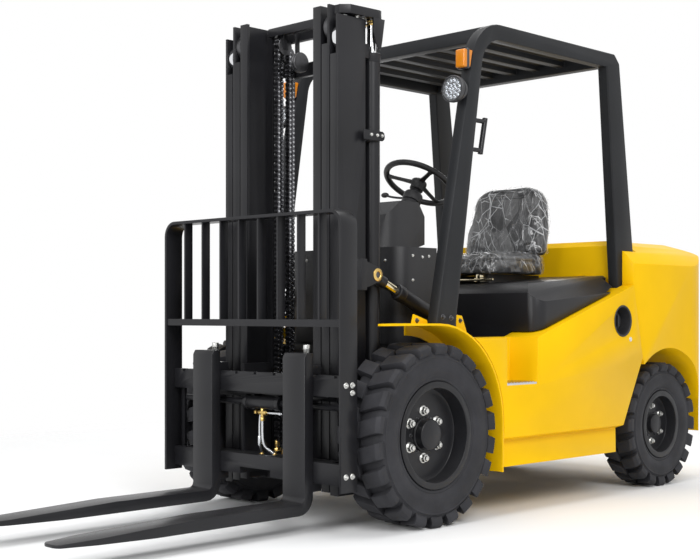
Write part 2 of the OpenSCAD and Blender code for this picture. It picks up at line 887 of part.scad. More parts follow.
module cowl_plan(g) {
  r = 60;
  polygon(concat(arc([cowl_front - g - r, cowl_half_w - g - r], r, 0, 90, 5),
    [[cowl_rear, cowl_half_w - g], [cowl_rear, -cowl_half_w + g]],
    arc([cowl_front - g - r, -cowl_half_w + g + r], r, 270, 360, 5)));
}

// Side view of the instrument hump, grown by g
module hump(g) {
  a = cowl_front - 74 + g;
  b = cowl_rear - 110 - g;
  polygon([[a, cowl_top - eps], [a - 40, hump_top - 60], [a - g - 110, hump_top + g],
    [b + g + 40, hump_top + g], [b, hump_top - 60], [b, cowl_top + 25], [b + 80, cowl_top - eps]]);
}

module cowl() {
  color(black) {
    difference() {
      translate([0, 0, floor_z + floor_t + seat_gap])
        linear_extrude(cowl_top - floor_z - floor_t - seat_gap)
          cowl_plan(0);
      translate([0, 0, floor_z])
        linear_extrude(cowl_top - cowl_wall - floor_z)
          cowl_plan(cowl_wall);
      block([cowl_rear - eps, -cowl_half_w + cowl_wall, floor_z],
        [cowl_rear + 30, cowl_half_w - cowl_wall, cowl_top - 135]);
    }
    intersection() {
      side(-hump_half, hump_half)
        hump(0);
      linear_extrude(hump_top + eps)
        hump_plan();
    }
  }
}

// Plan of the instrument hump, with its front corners rounded
module hump_plan() {
  r = 90;
  x = cowl_front - 74;
  polygon(concat(arc([x - r, hump_half - r], r, 0, 90, 8), [[x - 400, hump_half], [x - 400, -hump_half]],
    arc([x - r, -hump_half + r], r, 270, 360, 8)));
}

wheel_hub = [-572, 1408];

module on_column() {
  translate([wheel_hub.x, 0, wheel_hub.y])
    rotate([0, -steering_lean, 0])
      children();
}

module steering_column() {
  color(black)
    difference() {
      on_column() {
        translate([0, 0, -300])
          cylinder(r = 34, h = 240);
        translate([0, 0, -61])
          cylinder(r = 16, h = 50);
      }
      side(-100, 100)
        hump(seat_gap);
    }
}

module steering_wheel() {
  color(black)
    on_column() {
      rotate_extrude()
        translate([steering_r, 0])
          circle(r = steering_grip_r);
      difference() {
        translate([0, 0, -40])
          cylinder(r = 34, h = 48);
        translate([0, 0, -41])
          cylinder(r = 16 + running_fit, h = 31);
      }
      for (a = [60, 180, 300])
        rotate([0, 0, a])
          block([20, -12, -8], [steering_r - 4, 12, 2]);
      translate([-steering_r * 0.6, steering_r * 0.8, 0]) {
        cylinder(r = 9, h = 40);
        translate([0, 0, 52])
          sphere(r = 20);
      }
    }
}

module control_levers() {
  lever_r = 7;
  spacing = (cowl_half_w - hump_half) / 4;
  color(black)
    for (i = [0 : 2])
      translate([-240, -hump_half - (i + 1) * spacing, cowl_top]) {
        cylinder(r = 14, h = 20);
        cylinder(r = lever_r, h = 110);
        translate([0, 0, 120])
          sphere(r = 18);
      }
}

// Overhead guard

pillar_foot = [-64, 790];
pillar_lean = 12.2;
foot_depth = 120;
rail_rear = rear_x + 334;

// Front edge of the pillar at a height
function pillar_x(z) = pillar_foot.x - (z - pillar_foot.y) * tan(pillar_lean);

// Side view of one side: front pillar, bend, roof rail and rear leg
module guard_outline() {
  bend_c = [pillar_x(guard_top - guard_bend) - guard_bend * cos(pillar_lean), guard_top - guard_bend];
  inner_r = guard_bend - rail_h;
  polygon(concat([[pillar_foot.x, 720], pillar_foot], arc(bend_c, guard_bend, pillar_lean, 90, 10),
    [[rail_rear + 40, guard_top], [rail_rear, guard_top - 40], [leg_rear, 930],
     [leg_rear, leg_floor + seat_gap], [leg_rear + 120, leg_floor + seat_gap], [leg_rear + 154, 930],
     [rail_rear + 104, guard_top - rail_h]],
    arc(bend_c, inner_r, 90, pillar_lean, 8), [[pillar_foot.x - foot_depth, pillar_foot.y],
     [pillar_foot.x - foot_depth, 720]]));
}

module guard_sides() {
  color(black)
    both_sides()
      difference() {
        side(guard_half_w - pillar_w, guard_half_w)
          guard_outline();
        bar_y(fender_c.x, fender_c.y, fender_r + seat_gap, 0, body_half_w);
      }
}

// What is cut from a piece that sits on a pillar, moved by a gap
module pillar_cut(gap) {
  translate([gap, 0, 0])
    side(guard_half_w - pillar_w - eps, guard_half_w + eps)
      guard_outline();
}

module guard_roof() {
  inner = guard_half_w - pillar_w - seat_gap;
  roof_front = pillar_x(guard_top - guard_bend) - 142;
  slat_w = 44;
  slats = 7;
  pitch = 2 * inner / slats;
  color(black) {
    block([roof_front - 56, -inner, guard_top - 60], [roof_front, inner, guard_top - 4]);
    block([rail_rear + 46, -inner, guard_top - 60], [rail_rear + 100, inner, guard_top - 4]);
    block([rail_rear + 50, -inner, guard_top - 10], [roof_front - 10, inner, guard_top - 4]);
    for (i = [0 : slats - 1])
      translate([0, -inner + (i + 0.5) * pitch, 0])
        block([rail_rear + 60, -slat_w / 2, guard_top - 34], [roof_front - 40, slat_w / 2, guard_top - 8]);
  }
}

module grab_handle() {
  ends = [for (drop = [526, 406]) [pillar_x(guard_top - drop) - 155, guard_top - drop]];
  run = ends[1] - ends[0];
  r = 11;
  color(black)
    difference() {
      translate([0, guard_half_w - pillar_w / 2, 0]) {
        translate([ends[0].x, 0, ends[0].y])
          rotate([0, atan2(run.x, run.y), 0])
            translate([0, 0, -14])
              cylinder(r = r, h = norm(run) + 28);
        for (e = ends)
          translate([e.x, 0, e.y])
            rotate([0, 90, 0])
              cylinder(r = r - 2, h = 100);
      }
      pillar_cut(-seat_gap);
    }
}

lamp_y = guard_half_w - pillar_w / 2;

module head_lamps() {
  z = guard_top - 296;
  r = 52;
  color(steel)
    both_sides()
      difference() {
        translate([pillar_x(z), lamp_y, z])
          rotate([0, 90, 0]) {
            translate([0, 0, -20])
              cylinder(r = 16, h = 50);
            translate([0, 0, 24])
              cylinder(r1 = 34, r2 = r, h = 36);
            translate([0, 0, 60])
              cylinder(r = r, h = 16);
          }
        pillar_cut(seat_gap);
      }
}

module turn_signals() {
  z = guard_top - 204;
  color([0.95, 0.55, 0.08])
    both_sides()
      difference() {
        block([pillar_x(z) - 30, lamp_y - 24, z], [pillar_x(z) + 50, lamp_y + 24, z + 74]);
        pillar_cut(seat_gap);
      }
}

module rear_lamps() {
  color([0.75, 0.08, 0.06])
    both_sides()
      translate([rear_end + weight_corner, body_half_w - weight_corner, 790])
        rotate([0, 0, 135])
          translate([weight_corner - 45 + seat_gap, -45, 0])
            cube([30, 90, 190]);
}

// Mast

// One column's channel, open towards the centre line, from its outer edge inwards
module channel(outer, z0, z1) {
  block([mast_rear, outer - channel_web, z0], [mast_front, outer, z1]);
  block([mast_front - channel_flange, outer - channel_w, z0], [mast_front, outer, z1]);
  block([mast_rear, outer - channel_w, z0], [mast_rear + channel_flange, outer, z1]);
}

roller_x = mast_front - roller_r - 6;
run_x = mast_front - channel_flange - roller_r - seat_gap;
roller_z = 82;
notch_h = 150;

// Roller in the top of a channel, on a stub in its web
module top_roller(outer, z) {
  bar_y(roller_x, z, roller_r, outer - channel_w + 4, outer - channel_web - 2);
  bar_y(roller_x, z, 18, outer - channel_w + 4, outer);
}

// Notch in the front flange that bares the roller
module roller_notch(outer, top) {
  block([mast_front - channel_flange - eps, outer - channel_w - eps, top - notch_h],
    [mast_front + eps, outer - channel_web, top + eps]);
}

ring_in = mast_half_w - channel_w;
ring_out = mast_half_w;
ring_r = axle_tube_r + 34;
outer_cross_x = [0, 26];
outer_cross_z = outer_top - 149;
outer_cross_h = 55;
outer_cross_y = mast_half_w - 129;
tie_front = mast_rear - pass_gap - 1;
tie_rear = lift_x + lift_barrel_r + 1;

// Bearing plate that hangs a column on the axle's tube
module mast_bearing() {
  difference() {
    side(ring_in, ring_out)
      union() {
        polygon([[0, front_tyre_r - ring_r], [mast_rear + eps, front_tyre_r - ring_r - 40],
          [mast_rear + eps, front_tyre_r + ring_r + 20], [0, front_tyre_r + ring_r]]);
        translate([0, front_tyre_r])
          circle(r = ring_r);
      }
    bar_y(0, front_tyre_r, axle_tube_r + running_fit, ring_in - eps, ring_out + eps);
  }
}

// Cross member that passes behind the inner stages
module outer_cross(z0, z1) {
  block([outer_cross_x[0], -outer_cross_y - 14, z0], [outer_cross_x[1], outer_cross_y + 14, z1]);
  both_sides() {
    block([outer_cross_x[0], outer_cross_y, z0], [tie_front, outer_cross_y + 14, z1]);
    block([tie_rear, outer_cross_y, z0], [tie_front, mast_half_w - channel_w + eps, z1]);
    block([tie_rear, mast_half_w - channel_w, z0], [mast_rear + eps, mast_half_w, z1]);
  }
}

// Ears on a column's outer face that hold the tilt rod's pin
module tilt_clevis() {
  reach = tilt_y + eye_w / 2 + ear_t + 2;
  for (y = [mast_half_w, tilt_y + eye_w / 2 + 2])
    side(y, y == mast_half_w ? tilt_y - eye_w / 2 - 2 : y + ear_t)
      union() {
        translate(tilt_eye)
          circle(r = 30);
        polygon([tilt_eye + [0, -30], tilt_eye + [90, -60], tilt_eye + [90, 60], tilt_eye + [0, 30]]);
      }
  block([tilt_eye.x + 60, mast_half_w - eps, tilt_eye.y - 60], [tilt_eye.x + 90, reach, tilt_eye.y + 60]);
  bar_y(tilt_eye.x, tilt_eye.y, tilt_pin_r, mast_half_w - eps, reach);
}

module outer_mast() {
  color(black) {
    both_sides() {
      difference() {
        channel(mast_half_w, mast_bottom, outer_top);
        roller_notch(mast_half_w, outer_top);
      }
      top_roller(mast_half_w, outer_top - roller_z);
      mast_bearing();
      tilt_clevis();
      barrel_clamp(outer_top - 474);
      barrel_foot();
    }
    outer_cross(outer_cross_z, outer_cross_z + outer_cross_h);
    block([60, -mast_half_w, 128], [tie_front, mast_half_w, 176]);
    both_sides() {
      block([tie_front - eps, mast_half_w - channel_w, 128], [mast_rear + eps, mast_half_w, 176]);
      block([30, inner_chain_y - 14, lift_foot_z - 30], [54, mast_half_w - channel_w + eps, lift_foot_z]);
      chain_anchor(inner_rear_x, inner_chain_y, lift_foot_z, outer_anchor_z - lift_foot_z);
    }
  }
}

// Clamp that steadies a lift barrel against its column
module barrel_clamp(z) {
  difference() {
    block([lift_x, mast_half_w - channel_w, z], [mast_rear + eps, mast_half_w + 20, z + 40]);
    translate([lift_x, lift_y, z - eps])
      cylinder(r = lift_barrel_r + seat_gap, h = 40 + 2 * eps);
  }
}

lift_foot_z = 520;

// Ledge that a lift barrel stands on
module barrel_foot() {
  block([lift_x - lift_barrel_r, mast_half_w - channel_w, lift_foot_z - 30],
    [mast_rear + eps, mast_half_w + 20, lift_foot_z]);
}

module lift_barrels() {
  color(black)
    both_sides()
      translate([lift_x, lift_y, lift_foot_z])
        difference() {
          cylinder(r = lift_barrel_r, h = lift_gland_z - lift_foot_z);
          translate([0, 0, 30])
            cylinder(r = lift_rod_r + running_fit, h = lift_gland_z);
        }
}

// Chains run over sheaves: front strand, rear strand and sheave share these places
carriage_sheave = [130, mast_top - 82];
inner_sheave = [76, mast_top - 106];
carriage_front_x = carriage_sheave.x + sheave_r;
carriage_rear_x = carriage_sheave.x - sheave_r;
inner_front_x = inner_sheave.x + sheave_r;
inner_rear_x = inner_sheave.x - sheave_r;
carriage_anchor_z = 275;
middle_anchor_z = 590;
inner_anchor_z = 250;
outer_anchor_z = 560;

// Bolt that holds a chain's end, standing on z0
module chain_anchor(x, y, z0, h) {
  translate([x, y, z0 - eps])
    cylinder(r = 9, h = h + eps);
}

// Sheave with its cheek plates and pin, hung from z1
module sheave(place_xz, y, z1) {
  r = sheave_r - chain_h / 2;
  cheek = chain_w / 2 + 6;
  bar_y(place_xz.x, place_xz.y, r, y - chain_w / 2, y + chain_w / 2);
  bar_y(place_xz.x, place_xz.y, 9, y - cheek, y + cheek);
  for (s = [-1, 1])
    translate([0, y + s * (chain_w / 2 + 4), 0])
      block([place_xz.x - 14, -3, place_xz.y - 14], [place_xz.x + 14, 3, z1]);
}

// One straight run of leaf chain between two heights
module strand(x, y, z0, z1) {
  count = round((z1 - z0) / chain_pitch);
  waist = chain_h * 0.35;
  step = (z1 - z0) / (2 * count);
  edge = [for (i = [0 : 2 * count]) [i % 2 == 0 ? waist : chain_h / 2, i * step]];
  translate([x, y, z0])
    side(-chain_w / 2, chain_w / 2)
      polygon(concat(edge, [for (i = [2 * count : -1 : 0]) [-edge[i].x, edge[i].y]]));
}

module chain_pair(x, y, z0, z1) {
  color(steel)
    both_sides()
      strand(x, y, z0, z1);
}

module inner_chains_rear() {
  chain_pair(inner_rear_x, inner_chain_y, outer_anchor_z + seat_gap, inner_sheave.y);
}

module inner_chains_front() {
  chain_pair(inner_front_x, inner_chain_y, inner_anchor_z + seat_gap, inner_sheave.y);
}

module carriage_chains_rear() {
  chain_pair(carriage_rear_x, carriage_chain_y, middle_anchor_z + seat_gap, carriage_sheave.y);
}

module carriage_chains_front() {
  chain_pair(carriage_front_x, carriage_chain_y, carriage_anchor_z + seat_gap, carriage_sheave.y);
}

middle_cross_x = [60, 60 + cross_t];
middle_low_z = 500;
middle_high_z = mast_top - 58;
middle_tie = lift_y - lift_barrel_r - pass_gap - 2;

// Cross member of the middle mast, tied to the columns' rear flanges
module middle_cross(z0, z1) {
  block([middle_cross_x[0], -middle_tie, z0], [middle_cross_x[1], middle_tie, z1]);
  both_sides()
    block([middle_cross_x[0], middle_half_w - channel_w, z0], [mast_rear + eps, middle_tie, z1]);
}

// Plate over the outer column that the lift rod pushes
module head_plate() {
  z0 = mast_top - head_plate_t;
  translate([0, 0, z0])
    linear_extrude(head_plate_t)
      union() {
        translate([lift_x, lift_y])
          circle(r = 38);
        polygon([[lift_x, lift_y - 38], [lift_x, lift_y + 38], [mast_front - 60, lift_y + 30],
          [mast_front - 30, lift_y], [mast_front - 30, middle_half_w - eps], [mast_rear, middle_half_w - eps],
          [mast_rear - 10, lift_y - 38]]);
      }
}

module middle_mast() {
  color(black) {
    both_sides() {
      difference() {
        channel(middle_half_w, mast_bottom + 10, mast_top);
        roller_notch(middle_half_w, mast_top);
      }
      top_roller(middle_half_w, mast_top - roller_z);
      head_plate();
      bar_y(run_x, 300, roller_r, middle_half_w + pass_gap + 1, mast_half_w - channel_web - 2);
      bar_y(run_x, 300, 18, middle_half_w - eps, mast_half_w - channel_web - 2);
      sheave(inner_sheave, inner_chain_y, middle_high_z + eps);
      chain_anchor(carriage_rear_x, carriage_chain_y, middle_low_z + 50, middle_anchor_z - middle_low_z - 50);
      block([middle_cross_x[0], carriage_chain_y - 14, middle_low_z + 20],
        [carriage_rear_x + 12, carriage_chain_y + 14, middle_low_z + 50]);
    }
    middle_cross(middle_high_z, middle_high_z + 50);
    middle_cross(middle_low_z, middle_low_z + 60);
  }
}

module lift_rods() {
  color(steel)
    both_sides()
      translate([lift_x, lift_y, lift_foot_z + 40])
        cylinder(r = lift_rod_r, h = mast_top - head_plate_t - seat_gap - lift_foot_z - 40);
}

inner_cross_x = [130, 160];
inner_high_z = mast_top - 38;

module inner_mast() {
  color(black) {
    both_sides() {
      channel(inner_half_w, mast_bottom + 20, mast_top);
      bar_y(run_x, 300, roller_r, inner_half_w + pass_gap + 1, middle_half_w - channel_web - 2);
      bar_y(run_x, 300, 18, inner_half_w - eps, middle_half_w - channel_web - 2);
      sheave(carriage_sheave, carriage_chain_y, inner_high_z + eps);
      block([inner_front_x - 12, inner_chain_y - 9, 190], [inner_cross_x[0] + eps, inner_chain_y + 9, 216]);
      chain_anchor(inner_front_x, inner_chain_y, 216, inner_anchor_z - 216);
    }
    for (z = [190, inner_high_z])
      block([inner_cross_x[0], -inner_clear - eps, z], [inner_cross_x[1], inner_clear + eps, z + 34]);
  }
}

// Tilt cylinders

tilt_run = tilt_eye - tilt_foot;
tilt_angle = atan2(tilt_run.y, tilt_run.x);
tilt_length = norm(tilt_run);
tilt_eye_bore = tilt_pin_r + 5;
tilt_bore_foot = 70;
tilt_stroke = 54;
tilt_rod_foot = tilt_bore_foot + tilt_stroke + pass_gap + 1;

// Local X runs from the foot pin to the eye
module on_tilt() {
  translate([tilt_foot.x, tilt_y, tilt_foot.y])
    rotate([0, -tilt_angle, 0])
      children();
}

module tilt_barrel() {
  on_tilt()
    difference() {
      union() {
        rotate([0, 90, 0]) {
          translate([0, 0, ear_r + pass_gap])
            cylinder(r = tilt_barrel_r, h = tilt_barrel_l - ear_r - pass_gap);
          translate([0, 0, 18])
            cylinder(r = eye_w / 2 - 3, h = 40);
        }
        bar_y(0, 0, 26, -eye_w / 2, eye_w / 2);
      }
      bar_y(0, 0, tilt_pin_r + running_fit, -eye_w, eye_w);
      rotate([0, 90, 0])
        translate([0, 0, tilt_bore_foot])
          cylinder(r = tilt_rod_r + running_fit, h = tilt_barrel_l);
    }
}

module tilt_barrels() {
  color(black)
    both_sides()
      tilt_barrel();
}

module tilt_rod() {
  on_tilt()
    difference() {
      union() {
        rotate([0, 90, 0])
          translate([0, 0, tilt_rod_foot])
            cylinder(r = tilt_rod_r, h = tilt_length - tilt_rod_foot);
        bar_y(tilt_length, 0, 30, -eye_w / 2, eye_w / 2);
      }
      bar_y(tilt_length, 0, tilt_eye_bore, -eye_w, eye_w);
    }
}

module tilt_rods() {
  color(steel)
    both_sides()
      tilt_rod();
}

// Carriage, fork frame and forks

fork_bar_rear = fork_bar_front - fork_bar_t;
upper_bar_z = fork_bar_z + fork_frame_h - fork_bar_h;
fork_bar_half = backrest_half_w - backrest_t - seat_gap;
plate_y = [inner_clear - 27, inner_clear - 11];
plate_x = [172, 320];
shift_rod = [360, 470];
ledge_half = mast_half_w + 39;
hang_half = ledge_half + 12;
shift_rod_r = 13;
shift_barrel_r = 26;
shift_barrel_half = 100;
ledge_top = upper_bar_z + 8;
ledge_front = fork_bar_rear - 8;
lower_ledge = [fork_bar_z + 40, fork_bar_z + 76];

module carriage() {
  color(black) {
    both_sides() {
      block([plate_x[0], plate_y[0], 175], [plate_x[1], plate_y[1], 620]);
      for (z = [245, 560]) {
        bar_y(run_x, z, roller_r, inner_clear + 2, inner_half_w - channel_web - 2);
        bar_y(run_x, z, 20, plate_y[0], inner_clear + 3);
      }
      block([carriage_front_x - 12, carriage_chain_y - 12, 234], [plate_x[0] + 20, plate_y[0] + eps, 254]);
      chain_anchor(carriage_front_x, carriage_chain_y, 254, carriage_anchor_z - 254);
    }
    block([plate_x[1] - 24, -ledge_half, ledge_top - 34], [plate_x[1] + eps, ledge_half, ledge_top]);
    block([plate_x[1], -ledge_half, ledge_top - 16], [ledge_front, ledge_half, ledge_top]);
    block([plate_x[1] - 24, -ledge_half, lower_ledge[0]], [ledge_front, ledge_half, lower_ledge[1]]);
    difference() {
      union() {
        bar_y(shift_rod.x, shift_rod.y, shift_barrel_r, -shift_barrel_half, shift_barrel_half);
        for (y = [-80, 60])
          block([plate_x[1] - 20, y, shift_rod.y - 30], [shift_rod.x, y + 20, shift_rod.y + 30]);
        block([plate_x[1] - 22, -plate_y[1], shift_rod.y - 30],
          [plate_x[1] - 4, plate_y[1], shift_rod.y + 30]);
      }
      bar_y(shift_rod.x, shift_rod.y, shift_rod_r + running_fit, -999, 999);
    }
  }
}

module fork_bar(z) {
  block([fork_bar_rear, -fork_bar_half, z], [fork_bar_front, fork_bar_half, z + fork_bar_h]);
}

module fork_frame() {
  end_x = front_tyre_r + 12;
  notches = 9;
  notch_pitch = 2 * (fork_bar_half - 60) / (notches - 1);
  color(black) {
    difference() {
      fork_bar(upper_bar_z);
      for (i = [0 : notches - 1])
        translate([0, -fork_bar_half + 60 + i * notch_pitch, 0])
          block([fork_bar_rear - eps, -8, upper_bar_z + fork_bar_h - 10],
            [fork_bar_front + eps, 8, upper_bar_z + fork_bar_h + eps]);
    }
    difference() {
      fork_bar(fork_bar_z);
      block([fork_bar_rear - eps, -90, fork_bar_z - eps], [fork_bar_front + eps, 90, fork_bar_z + 26]);
    }
    block([ledge_front - 26, -hang_half, ledge_top + seat_gap],
      [fork_bar_rear + eps, hang_half, ledge_top + 18]);
    block([ledge_front + seat_gap, -hang_half, lower_ledge[0]],
      [fork_bar_rear + eps, hang_half, lower_ledge[1]]);
    both_sides()
      block([end_x, fork_bar_half - 28, fork_bar_z + 30],
        [fork_bar_rear + eps, fork_bar_half - 8, upper_bar_z + 26]);
    bar_y(shift_rod.x, shift_rod.y, shift_rod_r, -fork_bar_half + 10, fork_bar_half - 10);
  }
}

backrest_front = fork_bar_rear - 9 + backrest_depth;
backrest_z = 168;
backrest_mid = [774, 801];

module load_backrest() {
  rear = backrest_front - backrest_depth;
  inner = backrest_half_w - backrest_t;
  pitch = 2 * inner / (backrest_bars + 1);
  bar_w = 9;
  bar_depth = 38;
  color(black) {
    front(rear, backrest_front)
      difference() {
        backrest_arch(backrest_half_w, backrest_top, backrest_corner);
        backrest_arch(inner, backrest_top - backrest_t, backrest_corner - backrest_t);
      }
    block([backrest_front - 50, -inner - eps, backrest_mid[0]],
      [backrest_front - 4, inner + eps, backrest_mid[1]]);
    for (i = [1 : backrest_bars])
      translate([0, -inner + i * pitch, 0])
        block([backrest_front - 46, -bar_w / 2, backrest_mid[1] - eps],
          [backrest_front - 46 + bar_depth, bar_w / 2, backrest_top - backrest_t + eps]);
  }
}

module backrest_arch(half, top, r) {
  polygon(concat([[half, backrest_z]], arc([half - r, top - r], r, 0, 90, 8),
    arc([-half + r, top - r], r, 90, 180, 8), [[-half, backrest_z]]));
}

fork_rear = fork_bar_front + seat_gap;
hook_t = 13;

// Side view of a fork: shank, heel and tapered blade
module fork_outline() {
  heel = 70;
  crook = 22;
  front_x = fork_rear + fork_t;
  tip_t = 12;
  polygon(concat([[fork_rear, fork_top]],
    arc([fork_rear + heel, fork_z + heel], heel, 180, 270, 6),
    [[fork_tip - 380, fork_z], [fork_tip, fork_z + 10], [fork_tip, fork_z + 10 + tip_t],
     [fork_tip - 600, fork_z + fork_t]],
    arc([front_x + crook, fork_z + fork_t + crook], crook, 270, 180, 5),
    [[front_x, fork_top - 18], [front_x - 10, fork_top]]));
}

// Plan of a fork, narrowed round its tip
module fork_plan() {
  half = fork_w / 2;
  tip_r = 34;
  polygon(concat([[0, -half], [fork_tip - 150, -half]],
    arc([fork_tip - tip_r, -half + tip_r + 12], tip_r, -60, 0, 4),
    arc([fork_tip - tip_r, half - tip_r - 12], tip_r, 0, 60, 4), [[fork_tip - 150, half], [0, half]]));
}

module fork() {
  half = fork_w / 2;
  upper = upper_bar_z + fork_bar_h;
  slot = fork_bar_rear - seat_gap;
  color(black)
    translate([0, fork_y, 0]) {
      intersection() {
        side(-half, half)
          fork_outline();
        translate([0, 0, -eps])
          linear_extrude(fork_top + 2 * eps)
            fork_plan();
      }
      block([slot - hook_t, -half, upper + seat_gap], [fork_rear + eps, half, upper + 34]);
      block([slot - hook_t, -half, upper - 32], [slot, half, upper + seat_gap + eps]);
      block([slot - hook_t, -half, fork_bar_z - 34], [fork_rear + eps, half, fork_bar_z - seat_gap]);
      block([slot - hook_t, -half, fork_bar_z - 34], [slot, half, fork_bar_z + 26]);
      translate([slot - hook_t + 20, 0, upper + 34 - eps])
        cylinder(r = 11, h = fork_top + 24 - upper - 34);
    }
}

place() frame();
place() side_panels();
place() step_treads();
place() counterweight();
place() front_fenders();
place() floor_plate();
place() cowl();
place() steering_column();
place() control_levers();
place() guard_sides();
place() guard_roof();
place() grab_handle();
place() head_lamps();
place() turn_signals();
place() rear_lamps();
place() engine_block();
place() drive_axle();
place() steer_axle();
place() hood();
place() seat_base();
place() seat_cushion();
place() seat_back();
place() steering_wheel();
place() front_tyre();  // front_left_tyre
place() front_rim();  // front_left_rim
place() mirror([0, 1, 0]) front_tyre();  // front_right_tyre
place() mirror([0, 1, 0]) front_rim();  // front_right_rim
place() rear_tyre();  // rear_left_tyre
place() rear_rim();  // rear_left_rim
place() mirror([0, 1, 0]) rear_tyre();  // rear_right_tyre
place() mirror([0, 1, 0]) rear_rim();  // rear_right_rim
place() knuckle();  // left_knuckle
place() mirror([0, 1, 0]) knuckle();  // right_knuckle
place() outer_mast();
place() lift_barrels();
place() tilt_barrels();
place() tilt_rods();
place() middle_mast();
place() lift_rods();
place() inner_mast();
place() inner_chains_rear();
place() inner_chains_front();
place() carriage_chains_rear();
place() carriage_chains_front();
place() carriage();
place() fork_frame();
place() load_backrest();
place() fork();  // left_fork
place() mirror([0, 1, 0]) fork();  // right_fork
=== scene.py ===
import json
import math
from collections import namedtuple
from contextlib import contextmanager

import bmesh
import bpy
from mathutils import Matrix, Vector, noise


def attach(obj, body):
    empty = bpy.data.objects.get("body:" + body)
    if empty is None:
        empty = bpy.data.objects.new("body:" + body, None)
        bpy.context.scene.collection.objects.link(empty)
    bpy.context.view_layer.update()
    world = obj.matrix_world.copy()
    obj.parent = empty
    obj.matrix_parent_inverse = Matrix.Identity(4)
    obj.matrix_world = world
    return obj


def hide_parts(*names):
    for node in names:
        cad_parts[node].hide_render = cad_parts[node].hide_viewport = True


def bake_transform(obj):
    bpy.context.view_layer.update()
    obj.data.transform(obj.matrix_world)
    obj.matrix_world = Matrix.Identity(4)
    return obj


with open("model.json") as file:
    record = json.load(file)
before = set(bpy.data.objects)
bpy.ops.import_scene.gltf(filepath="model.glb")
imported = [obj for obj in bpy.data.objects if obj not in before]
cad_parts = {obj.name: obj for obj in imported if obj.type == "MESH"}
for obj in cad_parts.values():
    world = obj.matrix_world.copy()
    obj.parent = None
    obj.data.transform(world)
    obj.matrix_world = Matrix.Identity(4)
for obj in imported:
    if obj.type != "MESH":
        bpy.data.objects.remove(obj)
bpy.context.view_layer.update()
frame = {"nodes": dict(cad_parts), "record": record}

# Places are written as on the drawing: millimetres forward of the front axle, to the left and above the
# floor. SHIFT is how far the front axle lies forward of the frame's origin.
SHIFT = 326.85
ORIGIN = (-SHIFT, 0, 0)
SIDES = (1, -1)
HANDS = {"left": 1, "right": -1}
BODY = {n: b for b, ns in frame["record"]["behaviour"]["bodies"].items() for n in ns}
scene = bpy.context.scene


def T(x, y, z):
    """A place on the drawing, in the frame's metres."""
    return Vector(((x + SHIFT) / 1000, y / 1000, z / 1000))


# Camera, fitted to the photograph

CAMERA_AT = (3757.4, 3767.2, 820.7)
CAMERA_TURN = 135.499
CAMERA_LENS, CAMERA_SENSOR = 65.64, 36
CAMERA_SHIFT = (0.0441, 0.0496)
CAMERA_REACH = 200

cam = bpy.data.objects.new("camera", bpy.data.cameras.new("camera"))
scene.collection.objects.link(cam)
scene.camera = cam
cam.location = T(*CAMERA_AT)
cam.rotation_euler = (math.radians(90), 0, math.radians(CAMERA_TURN))
cam.data.sensor_width = CAMERA_SENSOR
cam.data.lens = CAMERA_LENS
cam.data.shift_x, cam.data.shift_y = CAMERA_SHIFT
cam.data.clip_end = CAMERA_REACH
scene.view_settings.view_transform = "Standard"


# Light

def lamp(name, spot, aim, size, power):
    data = bpy.data.lights.new(name, "AREA")
    data.shape = "DISK"
    data.size = size
    data.energy = power
    obj = bpy.data.objects.new(name, data)
    scene.collection.objects.link(obj)
    obj.location = spot
    obj.rotation_euler = (Vector(aim) - Vector(spot)).to_track_quat("-Z", "Y").to_euler()


lamp("key", (3.2, 6.0, 5.2), (0, 0, 0.8), 4.0, 330)
lamp("front", (7.5, 0.8, 3.2), (0.3, 0, 0.9), 3.5, 230)
lamp("top", (-0.6, 0.4, 7.5), (-0.4, 0, 0.8), 5.0, 260)
lamp("rear", (-5.5, -4.5, 3.6), (0, 0, 0.9), 4.0, 170)

SKY = (0.96, 0.98, 1.0, 1)
SKY_STRENGTH = 0.42


def shader_node(tree, kind, operation=None, **sockets):
    """A new shader node. The names of its sockets are written with _ for a space."""
    n = tree.nodes.new("ShaderNode" + kind)
    if operation:
        n.operation = operation
    for name, value in sockets.items():
        n.inputs[name.replace("_", " ")].default_value = value
    return n


def world_light():
    """Soft light from all round. What looks straight at it, or by a mirror or a lens, sees white."""
    world = bpy.data.worlds.new("studio")
    scene.world = world
    world.use_nodes = True
    t = world.node_tree
    t.nodes.clear()
    link = t.links.new
    out = shader_node(t, "OutputWorld")
    soft = shader_node(t, "Background", Color=SKY, Strength=SKY_STRENGTH)
    white = shader_node(t, "Background", Color=(1, 1, 1, 1))
    path = shader_node(t, "LightPath")
    straight = shader_node(t, "Math", "MAXIMUM")
    seen = shader_node(t, "Math", "MAXIMUM")
    mix = shader_node(t, "MixShader")
    link(path.outputs["Is Camera Ray"], straight.inputs[0])
    link(path.outputs["Is Transmission Ray"], straight.inputs[1])
    link(straight.outputs[0], seen.inputs[0])
    link(path.outputs["Is Glossy Ray"], seen.inputs[1])
    link(seen.outputs[0], mix.inputs[0])
    link(soft.outputs[0], mix.inputs[1])
    link(white.outputs[0], mix.inputs[2])
    link(mix.outputs[0], out.inputs[0])


world_light()


# Materials

LEAST_ROUGH = 0.02
COAT_ROUGHNESS = 0.12
GRAIN_HEIGHT = 0.001
DUST = (0.42, 0.40, 0.37, 1)
DUST_SCALE = 22.0


